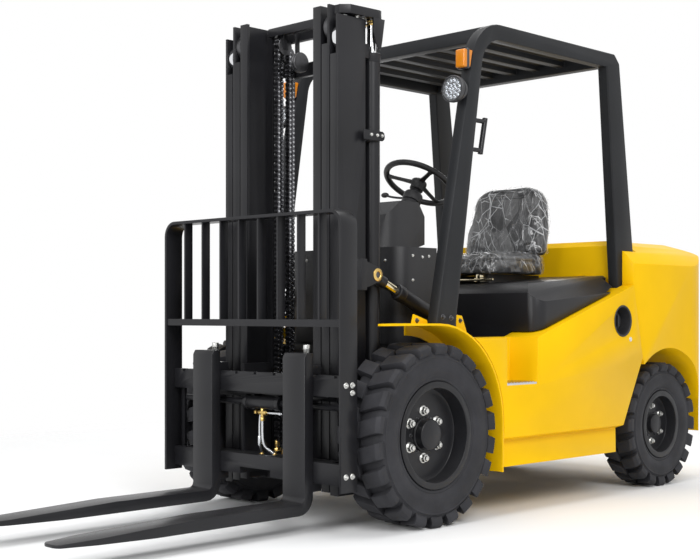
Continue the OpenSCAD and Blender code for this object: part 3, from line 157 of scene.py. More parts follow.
def mat(name, color, rough, *, grain, bump, tint, tint_scale=3.0, rough_vary=0.10, metal=0.0, coat=0.0,
        dust=0.0, cells=False, transmission=0.0, sheen=0.0, spec=0.5):
    """A surface whose colour drifts over large patches and its gloss over small ones, with grain as bump."""
    m = bpy.data.materials.new(name)
    m.use_nodes = True
    t = m.node_tree
    link = t.links.new
    p = t.nodes["Principled BSDF"]
    p.inputs["Metallic"].default_value = metal
    p.inputs["Coat Weight"].default_value = coat
    p.inputs["Coat Roughness"].default_value = COAT_ROUGHNESS
    p.inputs["Transmission Weight"].default_value = transmission
    p.inputs["Specular IOR Level"].default_value = spec
    p.inputs["Sheen Weight"].default_value = sheen
    place = shader_node(t, "TexCoord").outputs["Object"]

    def cloud(scale, detail=3.0):
        n = shader_node(t, "TexNoise", Scale=scale, Detail=detail)
        link(place, n.inputs["Vector"])
        return n.outputs["Fac"]

    ramp = shader_node(t, "ValToRGB")
    dark, light = ramp.color_ramp.elements
    dark.position, light.position = 0.3, 0.7
    dark.color = (*[c * (1 - tint) for c in color], 1)
    light.color = (*[min(1, c * (1 + tint)) for c in color], 1)
    link(cloud(tint_scale), ramp.inputs["Fac"])
    shade = ramp.outputs["Color"]
    if dust:
        # Dust lies on faces that look up, in clouds
        facing = shader_node(t, "SeparateXYZ")
        up = shader_node(t, "MapRange", From_Min=0.5, To_Max=dust)
        amount = shader_node(t, "Math", "MULTIPLY")
        mix = shader_node(t, "Mix")
        mix.data_type = "RGBA"
        mix.inputs["B"].default_value = DUST
        link(shader_node(t, "NewGeometry").outputs["Normal"], facing.inputs[0])
        link(facing.outputs["Z"], up.inputs["Value"])
        link(up.outputs[0], amount.inputs[0])
        link(cloud(DUST_SCALE, 5.0), amount.inputs[1])
        link(amount.outputs[0], mix.inputs["Factor"])
        link(shade, mix.inputs["A"])
        shade = mix.outputs["Result"]
    link(shade, p.inputs["Base Color"])
    gloss = shader_node(t, "MapRange", To_Min=max(LEAST_ROUGH, rough - rough_vary),
                        To_Max=min(1, rough + rough_vary))
    link(cloud(grain * 0.25, 4.0), gloss.inputs["Value"])
    link(gloss.outputs[0], p.inputs["Roughness"])
    if cells:
        height = shader_node(t, "TexVoronoi", Scale=grain)
        link(place, height.inputs["Vector"])
        level = height.outputs["Distance"]
    else:
        level = cloud(grain)
    b = shader_node(t, "Bump", Strength=bump, Distance=GRAIN_HEIGHT)
    link(level, b.inputs["Height"])
    link(b.outputs[0], p.inputs["Normal"])
    return m


YELLOW = mat("yellow_paint", (0.90, 0.53, 0.003), 0.34, coat=0.04, tint=0.04, grain=700, bump=0.05,
             rough_vary=0.06, spec=0.08)
BLACK = mat("black_paint", (0.013, 0.013, 0.015), 0.34, tint=0.25, grain=500, bump=0.10, dust=0.03, spec=0.30)
GUARD = mat("guard_paint", (0.016, 0.017, 0.019), 0.46, tint=0.2, grain=420, bump=0.14, dust=0.03, spec=0.22)
CHASSIS = mat("chassis_paint", (0.022, 0.022, 0.024), 0.50, tint=0.25, grain=300, bump=0.15, dust=0.10,
              spec=0.30)
CASTING = mat("casting", (0.035, 0.035, 0.037), 0.62, tint=0.3, grain=260, bump=0.45, dust=0.10, spec=0.30)
PLASTIC = mat("moulded_plastic", (0.020, 0.020, 0.022), 0.50, tint=0.15, grain=900, bump=0.22, cells=True,
              spec=0.40)
RUBBER = mat("tyre_rubber", (0.028, 0.028, 0.032), 0.66, tint=0.28, tint_scale=9, grain=240, bump=0.25,
             dust=0.05, spec=0.25)
GRIP = mat("grip_rubber", (0.014, 0.014, 0.015), 0.45, tint=0.2, grain=1200, bump=0.15, spec=0.35)
STEEL = mat("bright_steel", (0.62, 0.63, 0.65), 0.24, metal=1.0, tint=0.08, grain=320, bump=0.05)
CHROME = mat("rod_chrome", (0.78, 0.79, 0.81), 0.10, metal=1.0, tint=0.04, grain=600, bump=0.02,
             rough_vary=0.05)
ZINC = mat("zinc_bolts", (0.66, 0.66, 0.64), 0.32, metal=1.0, tint=0.12, tint_scale=40, grain=900, bump=0.08)
BRASS = mat("brass", (0.72, 0.50, 0.17), 0.30, metal=1.0, tint=0.12, tint_scale=30, grain=700, bump=0.06)
WARM = mat("rod_plating", (0.80, 0.71, 0.50), 0.14, metal=1.0, tint=0.08, grain=600, bump=0.02,
           rough_vary=0.05)
CHAIN = mat("chain_steel", (0.14, 0.14, 0.15), 0.30, metal=1.0, tint=0.3, tint_scale=40, grain=700, bump=0.08)
DARKSTEEL = mat("dark_steel", (0.10, 0.10, 0.105), 0.36, metal=0.9, tint=0.25, tint_scale=30, grain=500,
                bump=0.12)
LAMPSHELL = mat("lamp_shell", (0.035, 0.035, 0.038), 0.40, tint=0.15, grain=700, bump=0.08)
MIRROR = mat("lamp_reflector", (0.85, 0.86, 0.88), 0.14, metal=1.0, tint=0.03, grain=120, bump=0.03)
LENS = mat("clear_lens", (0.95, 0.97, 1.0), 0.06, tint=0.02, grain=260, bump=0.25, transmission=0.9,
           rough_vary=0.03)
AMBER = mat("amber_lens", (0.95, 0.30, 0.010), 0.16, tint=0.10, grain=420, bump=0.30, transmission=0.25,
            cells=True)
RED = mat("red_lens", (0.60, 0.015, 0.010), 0.16, tint=0.10, grain=420, bump=0.30, transmission=0.25,
          cells=True)
VINYL = mat("seat_vinyl", (0.016, 0.016, 0.017), 0.48, tint=0.2, grain=850, bump=0.30, cells=True, sheen=0.05)
FLOOR = mat("floor", (0.90, 0.90, 0.90), 0.85, tint=0.006, grain=60, bump=0.02)


# Building blocks

def apply_all(obj):
    """Selects a piece alone and applies its modifiers."""
    bpy.context.view_layer.objects.active = obj
    for o in bpy.context.selected_objects:
        o.select_set(False)
    obj.select_set(True)
    for m in list(obj.modifiers):
        bpy.ops.object.modifier_apply(modifier=m.name)


def add(name, bm, material, body, bevel=0.0, seg=2, angle=35, smooth=True, stands_for=None):
    """Turns a bmesh into a piece that rides a body, with its sharp edges rounded."""
    me = bpy.data.meshes.new(name)
    bm.to_mesh(me)
    bm.free()
    obj = bpy.data.objects.new(name, me)
    scene.collection.objects.link(obj)
    me.materials.append(material)
    if bevel:
        m = obj.modifiers.new("round", "BEVEL")
        m.width = bevel
        m.segments = seg
        m.limit_method = "ANGLE"
        m.angle_limit = math.radians(angle)
    if smooth:
        apply_all(obj)
        bpy.ops.object.shade_smooth_by_angle(angle=math.radians(angle))
    if body:
        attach(obj, body)
    if stands_for:
        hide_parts(stands_for)
    return obj


@contextmanager
def piece(name, material, body, bevel=0.0, seg=2, angle=35, matrix=None, stands_for=None):
    """A piece that is drawn in a with block. A matrix sets down what is drawn about the frame's origin."""
    bm = bmesh.new()
    yield bm
    bmesh.ops.recalc_face_normals(bm, faces=bm.faces)
    if matrix is not None:
        bmesh.ops.transform(bm, matrix=matrix, verts=bm.verts)
    add(name, bm, material, body, bevel, seg, angle, stands_for=stands_for)


def rounded(node, material, bevel, seg=2, angle=30):
    """A copy of a CAD node with its edges rounded, which stands for the node."""
    bm = bmesh.new()
    bm.from_mesh(frame["nodes"][node].data)
    bmesh.ops.remove_doubles(bm, verts=bm.verts, dist=1e-5)
    bmesh.ops.dissolve_limit(bm, angle_limit=math.radians(0.4), verts=bm.verts, edges=bm.edges)
    add(node + "_skin", bm, material, BODY[node], bevel, seg, angle, stands_for=node)


def paint(material, *nodes):
    """Gives a material to CAD nodes that show as they are."""
    for n in nodes:
        obj = frame["nodes"][n]
        obj.data.materials.clear()
        obj.data.materials.append(material)


def lathe(bm, profile, centre, seg, axis="Y"):
    """Adds a turned shape: profile holds (radius, distance along the axis) in millimetres."""
    c = T(*centre)
    rings = []
    for r, h in profile:
        ring = []
        for i in range(1 if r < 0.01 else seg):
            a = 2 * math.pi * i / seg
            u, v = r * math.cos(a) / 1000, r * math.sin(a) / 1000
            p = {"Y": (u, h / 1000, v), "X": (h / 1000, u, v), "Z": (u, v, h / 1000)}[axis]
            ring.append(bm.verts.new(c + Vector(p)))
        rings.append(ring)
    for a, b in zip(rings, rings[1:]):
        for i in range(seg):
            q = [a[i % len(a)], a[(i + 1) % len(a)], b[(i + 1) % len(b)], b[i % len(b)]]
            q = list(dict.fromkeys(q))
            if len(q) > 2:
                bm.faces.new(q)


def pair(bm, profile, x, z, seg):
    """Adds a shape turned about a cross axis, on the left and on the right."""
    for s in SIDES:
        lathe(bm, [(r, s * y) for r, y in profile], (x, 0, z), seg)


def rod(bm, r, lo, hi, centre, seg, axis="Y"):
    lathe(bm, [(0, lo), (r, lo), (r, hi), (0, hi)], centre, seg, axis)


def prism(bm, outline, lo, hi, axis="Y"):
    """Adds an outline pushed along an axis: outline holds the other two coordinates, in millimetres."""
    def point(u, v, w):
        return {"Y": T(u, w, v), "X": T(w, u, v), "Z": T(u, v, w)}[axis]
    a = [bm.verts.new(point(u, v, lo)) for u, v in outline]
    b = [bm.verts.new(point(u, v, hi)) for u, v in outline]
    n = len(outline)
    bm.faces.new(a)
    bm.faces.new(list(reversed(b)))
    for i in range(n):
        bm.faces.new([a[i], b[i], b[(i + 1) % n], a[(i + 1) % n]])


def block(bm, lo, hi):
    prism(bm, [(lo[0], lo[2]), (hi[0], lo[2]), (hi[0], hi[2]), (lo[0], hi[2])], lo[1], hi[1])


def bolt(bm, at, axis, r, h, turn=0.0, washer=True):
    """Adds a hexagon head with the end of its stud, turned by some angle."""
    face = Vector((0, 0, 1)).rotation_difference(Vector(axis)).to_matrix().to_4x4()
    place = Matrix.Translation(T(*at)) @ face @ Matrix.Rotation(turn, 4, "Z")
    # Sides, radius, share of it left at the far end, and both ends
    parts = [(6, r, 0.94, 0.0, h), (16, r * 0.62, 0.9, h, h + 0.45 * r)]
    if washer:
        parts.append((20, r * 1.3, 0.9, -0.5, 0.16 * r))
    for n, radius, taper, z0, z1 in parts:
        cone = bmesh.ops.create_cone(bm, cap_ends=True, segments=n, radius1=radius / 1000,
                                     radius2=radius * taper / 1000, depth=(z1 - z0) / 1000)
        middle = Matrix.Translation((0, 0, (z0 + z1) / 2000))
        bmesh.ops.transform(bm, matrix=place @ middle, verts=cone["verts"])


def merge(bm, part, matrix):
    """Sets what is drawn in a bmesh of its own into another one."""
    bmesh.ops.transform(part, matrix=matrix, verts=part.verts)
    me = bpy.data.meshes.new("part")
    part.to_mesh(me)
    part.free()
    bm.from_mesh(me)
    bpy.data.meshes.remove(me)


def tube(name, points, radius, material, body):
    """A smooth round bar or pipe along points, in millimetres."""
    cu = bpy.data.curves.new(name, "CURVE")
    cu.dimensions = "3D"
    cu.bevel_depth = radius / 1000
    cu.bevel_resolution = 4
    cu.resolution_u = 6
    cu.use_fill_caps = True
    sp = cu.splines.new("NURBS")
    sp.points.add(len(points) - 1)
    for p, q in zip(sp.points, points):
        p.co = (*T(*q), 1)
    sp.order_u = 4
    sp.use_endpoint_u = True
    obj = bpy.data.objects.new(name, cu)
    scene.collection.objects.link(obj)
    apply_all(obj)
    bpy.ops.object.convert(target="MESH")
    obj = bpy.context.view_layer.objects.active
    obj.name = name
    obj.data.materials.clear()
    obj.data.materials.append(material)
    for f in obj.data.polygons:
        f.use_smooth = True
    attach(obj, body)


# Floor

FLOOR_HALF = 6
FADE_START, FADE_END = 2.3, 4.6


def floor():
    """A pale floor that fades out some way from the truck, so that no horizon shows."""
    t = FLOOR.node_tree
    far = shader_node(t, "VectorMath", "LENGTH")
    fade = shader_node(t, "MapRange", From_Min=FADE_START, From_Max=FADE_END, To_Min=1.0, To_Max=0.0)
    fade.interpolation_type = "SMOOTHSTEP"
    t.links.new(shader_node(t, "TexCoord").outputs["Object"], far.inputs[0])
    t.links.new(far.outputs["Value"], fade.inputs["Value"])
    t.links.new(fade.outputs[0], t.nodes["Principled BSDF"].inputs["Alpha"])
    bm = bmesh.new()
    bmesh.ops.create_grid(bm, x_segments=1, y_segments=1, size=FLOOR_HALF)
    obj = add("floor", bm, FLOOR, None, smooth=False)


floor()


# Body panels, frame and mast: the CAD shapes with rounded edges

for node, material, width in [
        ("side_panels", YELLOW, 0.006), ("counterweight", YELLOW, 0.012), ("front_fenders", YELLOW, 0.002),
        ("hood", BLACK, 0.006), ("guard_sides", GUARD, 0.006), ("guard_roof", GUARD, 0.003),
        ("cowl", PLASTIC, 0.006), ("outer_mast", BLACK, 0.002), ("middle_mast", BLACK, 0.002),
        ("inner_mast", BLACK, 0.002), ("carriage", BLACK, 0.002), ("fork_frame", BLACK, 0.002),
        ("load_backrest", BLACK, 0.0015), ("left_fork", BLACK, 0.003), ("right_fork", BLACK, 0.003),
        ("frame", CHASSIS, 0.002)]:
    rounded(node, material, width)

paint(CHASSIS, "seat_base", "left_knuckle", "right_knuckle")
paint(CASTING, "engine_block", "drive_axle", "steer_axle")
paint(PLASTIC, "steering_column", "control_levers", "floor_plate")
paint(STEEL, "step_treads")
paint(CHROME, "lift_rods")
paint(WARM, "tilt_rods")
paint(BLACK, "lift_barrels", "tilt_barrels", "grab_handle")


# Wheels

Wheel = namedtuple("Wheel", "x y r width bead lugs nut_circle nut_face nut_r cap_r")
WHEELS = {"front": Wheel(0, 497, 355, 216, 190.3, 22, 184, 22, 17, 61),
          "rear": Wheel(-1700, 482, 295, 172, 142.3, 20, 170, 16, 13, 53)}
TREAD_DEPTH, LUG_DEPTH = 24, 34
LUG_SHARE, LUG_TAPER, LUG_SLANT = 0.35, 0.05, 0.30


def tyre(node, wheel, side):
    """Carcass with bulged, ribbed sidewalls, and slanted lugs that run over the shoulders."""
    r, bead, half = wheel.r, wheel.bead, wheel.width / 2
    base, foot = r - TREAD_DEPTH, r - LUG_DEPTH
    mid = (bead + base) / 2
    centre = (wheel.x, side * wheel.y, r)
    bm = bmesh.new()
    wall = [(bead, half - 22.4), (bead + 18, half - 22.4), (bead + 21, half - 18), (bead + 26, half - 15),
            (bead + 30, half - 15), (bead + 33, half - 17), (mid - 22, half - 7), (mid - 6, half - 4),
            (mid + 10, half - 4), (r - 58, half - 8), (r - 56, half - 5.5), (r - 52, half - 5.5),
            (r - 50, half - 9.5), (r - 43, half - 12), (r - 30, half - 24), (base, half - 44)]
    lathe(bm, wall + [(base, 0)] + [(a, -b) for a, b in reversed(wall)] + [wall[0]], centre, 132)
    bmesh.ops.remove_doubles(bm, verts=bm.verts, dist=1e-6)
    section = [(foot, 4), (foot, half - 20), (r - 45, half - 10), (r - 26, half - 1), (r - 12, half),
               (r, half - 13), (r, 4)]
    pitch = 2 * math.pi / wheel.lugs
    c = T(*centre)
    for k in range(wheel.lugs):
        for row in (0, 1):
            at = math.pi / 2 + (k + row / 2) * pitch
            cols = []
            for a in (-1, -0.35, 0.35, 1):
                col = []
                for rad, h in section:
                    reach = a * pitch * (LUG_SHARE - LUG_TAPER * (rad - foot) / LUG_DEPTH)
                    ang = at + reach + pitch * LUG_SLANT * (h / half - 0.5)
                    v = Vector((rad * math.cos(ang), h * (1 - 2 * row), rad * math.sin(ang))) / 1000
                    col.append(bm.verts.new(c + v))
                cols.append(col)
            for a, b in zip(cols, cols[1:]):
                for i in range(len(section)):
                    j = (i + 1) % len(section)
                    bm.faces.new([a[i], a[j], b[j], b[i]])
            bm.faces.new(cols[0])
            bm.faces.new(list(reversed(cols[-1])))
    bmesh.ops.recalc_face_normals(bm, faces=bm.faces)
    add(node + "_skin", bm, RUBBER, BODY[node], 0.0035, 2, 38, stands_for=node)


def wheel_bolts(name, node, material, wheel, side, radius, start, size):
    """Six bolts on a circle round the hub cap."""
    with piece(node + name, material, BODY[node], 0.0008) as bm:
        for i in range(6):
            a = math.radians(start + 60 * i)
            spot = (wheel.x + radius * math.cos(a), side * (wheel.y + wheel.nut_face),
                    wheel.r + radius * math.sin(a))
            bolt(bm, spot, (0, side, 0), size, size * 0.95, a)


for hand, side in HANDS.items():
    for end, wheel in WHEELS.items():
        rim = "%s_%s_rim" % (end, hand)
        tyre("%s_%s_tyre" % (end, hand), wheel, side)
        rounded(rim, BLACK, 0.004, 3, 28)
        wheel_bolts("_nuts", rim, ZINC, wheel, side, wheel.nut_circle / 2, 30, wheel.nut_r)
        wheel_bolts("_cap_screws", rim, DARKSTEEL, wheel, side, wheel.cap_r + 11, 0, 6)


# Leaf chains: plates in turn, with pins, on the straight runs and over the sheaves

CHAIN_H, PITCH, PIN_R, PIN_HALF, PLATE_HALF = 17.0, 19.05, 3.6, 13, 1.5
OUTER_PLATES, INNER_PLATES = (-9.9, -3.3, 3.3, 9.9), (-6.6, 0, 6.6)
SHEAVE_R, TURN_LINKS = 32, 5


def link_shape(n=5):
    """Outline of a plate: two round ends and a waist."""
    r, waist = CHAIN_H / 2, CHAIN_H * 0.33
    end = [(PITCH / 2 + r * math.sin(a), r * math.cos(a)) for a in [math.pi * i / (n - 1) for i in range(n)]]
    return end + [(0, -waist)] + [(-u, -v) for u, v in end] + [(0, waist)]


LINK = link_shape()


def links(bm, spots, y):
    """Adds one link at each spot: (place, direction along the chain) in the side view. Pins are bright."""
    for i, ((x, z), (dx, dz)) in enumerate(spots):
        for o in INNER_PLATES if i % 2 else OUTER_PLATES:
            plate = [(x + u * dx + v * dz, z + u * dz - v * dx) for u, v in LINK]
            prism(bm, plate, y + o - PLATE_HALF, y + o + PLATE_HALF)
        px, pz = x + dx * PITCH / 2, z + dz * PITCH / 2
        turns = [math.pi * k / 4 for k in range(8)]
        pin = [(px + PIN_R * math.cos(a), pz + PIN_R * math.sin(a)) for a in turns]
        first = len(bm.faces)
        prism(bm, pin, y - PIN_HALF, y + PIN_HALF)
        bm.faces.ensure_lookup_table()
        for f in bm.faces[first:]:
            f.material_index = 1


def chain_run(node, x, y, z0, z1):
    """A straight run of links on each side, which stands for the node and is tied to no body."""
    n = round((z1 - z0) / PITCH)
    step = (z1 - z0) / n
    pieces = []
    for hand, s in HANDS.items():
        bm = bmesh.new()
        links(bm, [((x, z0 + (i + 0.5) * step), (0, 1)) for i in range(n)], s * y)
        bmesh.ops.recalc_face_normals(bm, faces=bm.faces)
        obj = add("%s_%s_links" % (node, hand), bm, CHAIN, None, smooth=False)
        obj.data.materials.append(STEEL)
        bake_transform(obj)
        pieces.append(obj)
    for obj in pieces:
        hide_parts(node)


def chain_turn(name, x, z, y, body):
    """The links that lie over a pair of sheaves, and the sheaves' flanges."""
    turns = [math.pi * (i + 0.5) / TURN_LINKS for i in range(TURN_LINKS)]
    spots = [((x + SHEAVE_R * math.cos(a), z + SHEAVE_R * math.sin(a)), (-math.sin(a), math.cos(a)))
             for a in turns]
    bm = bmesh.new()
    for s in SIDES:
        links(bm, spots, s * y)
    bmesh.ops.recalc_face_normals(bm, faces=bm.faces)
    obj = add(name + "_turn", bm, CHAIN, body, smooth=False)
    obj.data.materials.append(STEEL)
    with piece(name + "_flanges", DARKSTEEL, body) as bm:
        for s in SIDES:
            for o in (-16, 14.5):
                lathe(bm, [(0, o), (36, o), (37, o + 0.7), (36, o + 1.5), (0, o + 1.5)], (x, s * y, z), 48)


chain_run("inner_chains_rear", 44, 178, 560.3, 1912)
chain_run("inner_chains_front", 108, 178, 250.3, 1912)
chain_run("carriage_chains_rear", 98, 140, 590.3, 1936)
chain_run("carriage_chains_front", 162, 140, 275.3, 1936)
chain_turn("inner_sheaves", 76, 1912, 178, "middle_mast")
chain_turn("carriage_sheaves", 130, 1936, 140, "inner_mast")


# Mast: rollers, rods and fittings

ROLLER_X, OUTER_ROLLER_Z, MIDDLE_ROLLER_Z = 222, 1892, 1936
LIFT_X, LIFT_Y, GLAND_Z, HEAD_Z = 68, 311, 1850, 1984
CLAMP_FACE, STRAP_FACE, CLAMP_Z, FOOT_Z = 351, 356, 1522, 505


def roller(y):
    """Profile of a mast roller whose inner face lies at y."""
    return [(0, y), (50, y), (52.6, y + 2.5), (52.6, y + 24), (50, y + 26.6), (0, y + 26.6)]


with piece("outer_rollers", CHROME, "outer_mast") as bm:
    pair(bm, roller(292), ROLLER_X, OUTER_ROLLER_Z, 72)
with piece("middle_rollers", DARKSTEEL, "middle_mast") as bm:
    pair(bm, roller(245), ROLLER_X, MIDDLE_ROLLER_Z, 72)
with piece("roller_pins", DARKSTEEL, "outer_mast") as bm:
    pair(bm, [(0, 290), (17, 290), (19, 291), (19, 293), (0, 293)], ROLLER_X, OUTER_ROLLER_Z, 32)
with piece("lift_glands", BLACK, "outer_mast") as bm:
    for s in SIDES:
        lathe(bm, [(20.6, 0), (33, 0), (35, -2), (35, -32), (33, -35), (32.2, -35)],
              (LIFT_X, s * LIFT_Y, GLAND_Z), 64, "Z")
with piece("lift_rod_nuts", BRASS, "middle_mast", 0.0008) as bm:
    for s in SIDES:
        bolt(bm, (LIFT_X, s * LIFT_Y, HEAD_Z - 3), (0, 0, -1), 24, 14, 0.3, washer=False)
        lathe(bm, [(20.3, -24), (26, -23), (26, -17), (20.3, -17)], (LIFT_X, s * LIFT_Y, HEAD_Z), 40, "Z")
with piece("clamp_bolts", ZINC, "outer_mast", 0.0006) as bm:
    for s in SIDES:
        for x in (60, 88, 122):
            bolt(bm, (x, s * STRAP_FACE, CLAMP_Z), (0, s, 0), 7.5, 6, x, washer=False)
        for x in (56, 80, 104):
            bolt(bm, (x, s * CLAMP_FACE, FOOT_Z), (0, s, 0), 8, 6, x)
with piece("clamp_straps", BLACK, "outer_mast", 0.0015) as bm:
    for s in SIDES:
        prism(bm, [(160, 1502), (160, 1540), (54, 1540), (44, 1534), (40, 1521), (44, 1508), (54, 1502)],
              s * (CLAMP_FACE - 0.5), s * STRAP_FACE)
with piece("head_plate_bolts", ZINC, "middle_mast", 0.0006) as bm:
    for s in SIDES:
        for x, y in ((110, 300), (160, 318), (210, 302)):
            bolt(bm, (x, s * y, HEAD_Z), (0, 0, -1), 8, 6, x)
with piece("head_gussets", BLACK, "middle_mast", 0.0015) as bm:
    for s in SIDES:
        prism(bm, [(36, HEAD_Z), (100, HEAD_Z), (100, 1930), (88, 1890), (72, 1862), (58, 1862), (50, 1900)],
              s * 346, s * 352)

for body, (x, y, z) in {"outer_mast": (44, 178, 520), "inner_mast": (108, 178, 216),
                        "middle_mast": (98, 140, 550), "carriage": (162, 140, 254)}.items():
    with piece(body + "_chain_nuts", BRASS, body, 0.0006) as bm:
        for s in SIDES:
            bolt(bm, (x, s * y, z), (0, 0, 1), 15, 11, 0.4)
            lathe(bm, [(0, 12), (10, 12), (10, 20), (12, 22), (12, 40), (9, 44), (0, 44)],
                  (x, s * y, z), 24, "Z")


# Hose pulley on the inner mast, with its bracket

PULLEY_X, PULLEY_Z, BRACKET_FACE = 96, 1866, -89

with piece("hose_pulley", DARKSTEEL, "inner_mast", 0.0008) as bm:
    lathe(bm, [(0, -84), (40, -84), (42, -82), (42, -79), (34, -76), (34, -69), (42, -66), (42, -63),
               (40, -61), (0, -61)], (PULLEY_X, 0, PULLEY_Z), 56)
with piece("pulley_bracket", BLACK, "inner_mast", 0.002) as bm:
    block(bm, (84, BRACKET_FACE, 1850), (110, -85, 1990))
with piece("pulley_bolt", ZINC, "inner_mast", 0.0006) as bm:
    bolt(bm, (PULLEY_X, BRACKET_FACE, PULLEY_Z), (0, -1, 0), 12, 8)


# Tilt cylinders: glands, rod sleeves, eye rings and pins

TILT_FOOT, TILT_EYE, TILT_Y, EYE_FACE = (-230, 812), (141, 973), 378, 411
TILT = math.atan2(TILT_EYE[1] - TILT_FOOT[1], TILT_EYE[0] - TILT_FOOT[0])


def on_tilt(bm, profile):
    """Adds a shape turned about each tilt cylinder, with distances from its foot."""
    for s in SIDES:
        part = bmesh.new()
        lathe(part, profile, ORIGIN, 48, "X")
        foot = Matrix.Translation(T(TILT_FOOT[0], s * TILT_Y, TILT_FOOT[1]))
        merge(bm, part, foot @ Matrix.Rotation(-TILT, 4, "Y"))


with piece("tilt_glands", BLACK, "tilt_barrels") as bm:
    on_tilt(bm, [(18.5, 252), (28, 252), (32, 249), (32.5, 240), (32.5, 216), (30.2, 212)])
with piece("tilt_wipers", BLACK, "tilt_barrels") as bm:
    on_tilt(bm, [(18.3, 262), (23, 262), (24, 259), (24, 251.5), (18.3, 251.5)])
with piece("tilt_sleeves", BLACK, "tilt_rods") as bm:
    on_tilt(bm, [(18.2, 330), (22, 330), (24, 332), (24, 366), (18.2, 372)])
with piece("tilt_eye_rings", BRASS, "outer_mast") as bm:
    pair(bm, [(12, EYE_FACE), (12, EYE_FACE + 2), (14, EYE_FACE + 4), (21, EYE_FACE + 4),
              (25, EYE_FACE + 1.5), (25, EYE_FACE), (12, EYE_FACE)], *TILT_EYE, 48)
with piece("tilt_pin_ends", DARKSTEEL, "outer_mast") as bm:
    pair(bm, [(0, EYE_FACE + 1.5), (10, EYE_FACE + 1.5), (12, EYE_FACE + 0.8), (12, EYE_FACE), (0, EYE_FACE)],
         *TILT_EYE, 32)


# Carriage: side-shift cylinder, its fittings and steel pipes, bolts

SHIFT_X, SHIFT_Z, PIPE_Z = 360, 470, 430
FEED_END, RETURN_END, LEDGE_Z = (328, 28), (336, -40), 252

with piece("shift_glands", BLACK, "carriage", 0.0006) as bm:
    for y0, y1 in ((-104, -84), (84, 104)):
        lathe(bm, [(13.5, y0), (27, y0), (29, y0 + 2), (29, y1 - 2), (27, y1), (13.5, y1)],
              (SHIFT_X, 0, SHIFT_Z), 56)
with piece("shift_tee", BRASS, "carriage", 0.0006) as bm:
    rod(bm, 9, 412, 446, (SHIFT_X, -10, 0), 24, "Z")
    rod(bm, 10, -30, 16, (SHIFT_X, 0, PIPE_Z), 24)
    bolt(bm, (SHIFT_X, -40, PIPE_Z), (0, -1, 0), 11, 12, washer=False)
    bolt(bm, (SHIFT_X, -10, 410), (0, 0, -1), 11, 14, washer=False)
    for x, y in (FEED_END, RETURN_END):
        bolt(bm, (x, y, LEDGE_Z), (0, 0, 1), 11, 14, washer=False)
with piece("shift_pipe", STEEL, "carriage", 0.0005) as bm:
    rod(bm, 6, 16, 92, (SHIFT_X, 0, PIPE_Z), 20)
    bolt(bm, (SHIFT_X, 92, PIPE_Z), (0, 1, 0), 9, 10, washer=False)
    lathe(bm, [(5, 298), (8, 298), (8, 336), (5, 336)], (357, -31, 0), 24, "Z")
tube("shift_feed_pipe", [
    (SHIFT_X, -10, 396), (SHIFT_X, -10, 350), (359, -9, 316), (354, -4, 294), (344, 8, 280), (334, 20, 272),
    (*FEED_END, 262)], 7, STEEL, "carriage")
tube("shift_return_pipe", [
    (SHIFT_X, -22, 428), (359, -30, 392), (357, -31, 350), (357, -31, 310), (354, -32, 288), (344, -37, 276),
    (*RETURN_END, 262)], 5, STEEL, "carriage")

BACKREST_FACE = 521
LATCH_X, FORK_Y = 387, 270

with piece("backrest_bolts", ZINC, "fork_frame", 0.0006) as bm:
    for s in SIDES:
        for x, z in ((396, 560), (396, 532), (430, 560), (396, 226), (430, 226)):
            bolt(bm, (x, s * BACKREST_FACE, z), (0, s, 0), 9, 6, x)
for hand, s in HANDS.items():
    with piece(hand + "_fork_latch", ZINC, hand + "_fork", 0.0008) as bm:
        lathe(bm, [(0, 674), (11.5, 674), (11.5, 684), (13.5, 686), (13.5, 703), (11.5, 705), (0, 705)],
              (LATCH_X, s * FORK_Y, 0), 40, "Z")


# Guard: tabs at the pillars' feet, lamps, signals

TAB_IN, TAB_OUT, GUARD_FACE = 496, 504, 535

with piece("pillar_tabs", YELLOW, "chassis", 0.002) as bm:
    for s in SIDES:
        prism(bm, [(49, 776), (36, 821), (-43, 798), (-46, 776)], s * TAB_IN, s * TAB_OUT)
        prism(bm, [(-221, 748), (-221, 818), (-257, 815), (-288, 748)], s * TAB_IN, s * TAB_OUT)
with piece("guard_bolts", DARKSTEEL, "chassis", 0.0006) as bm:
    for s in SIDES:
        for x, y, z, r in ((20, TAB_OUT, 796, 8), (-244, TAB_OUT, 795, 8), (-100, GUARD_FACE, 810, 9),
                           (-150, GUARD_FACE, 806, 9), (-1440, GUARD_FACE, 850, 10),
                           (-1410, GUARD_FACE, 900, 10)):
            bolt(bm, (x, s * y, z), (0, s, 0), r, 6, x)

LAMP_X, LAMP_Y, LAMP_Z = -265.1, 509, 1720
LAMP_RIBS = 4
SIGNAL_IN = 483


def lamp_shell():
    """Profile of a head lamp: its stem, cooling ribs and rim."""
    shell = [(0, -16), (15, -16), (15, 20), (30, 22)]
    for i in range(LAMP_RIBS):
        x = 24 + 9 * i
        r = 34 + 4.5 * i
        shell += [(r, x), (r + 4, x + 0.8), (r + 4, x + 4), (r, x + 5)]
    return shell + [(52, 60), (54, 62), (54, 77), (52, 79), (48, 79), (47, 74), (47, 62), (0, 58)]


def ring(r, n, start=0.0):
    """Places on a circle."""
    return [(r * math.cos(a), r * math.sin(a)) for a in [2 * math.pi * (i + start) / n for i in range(n)]]


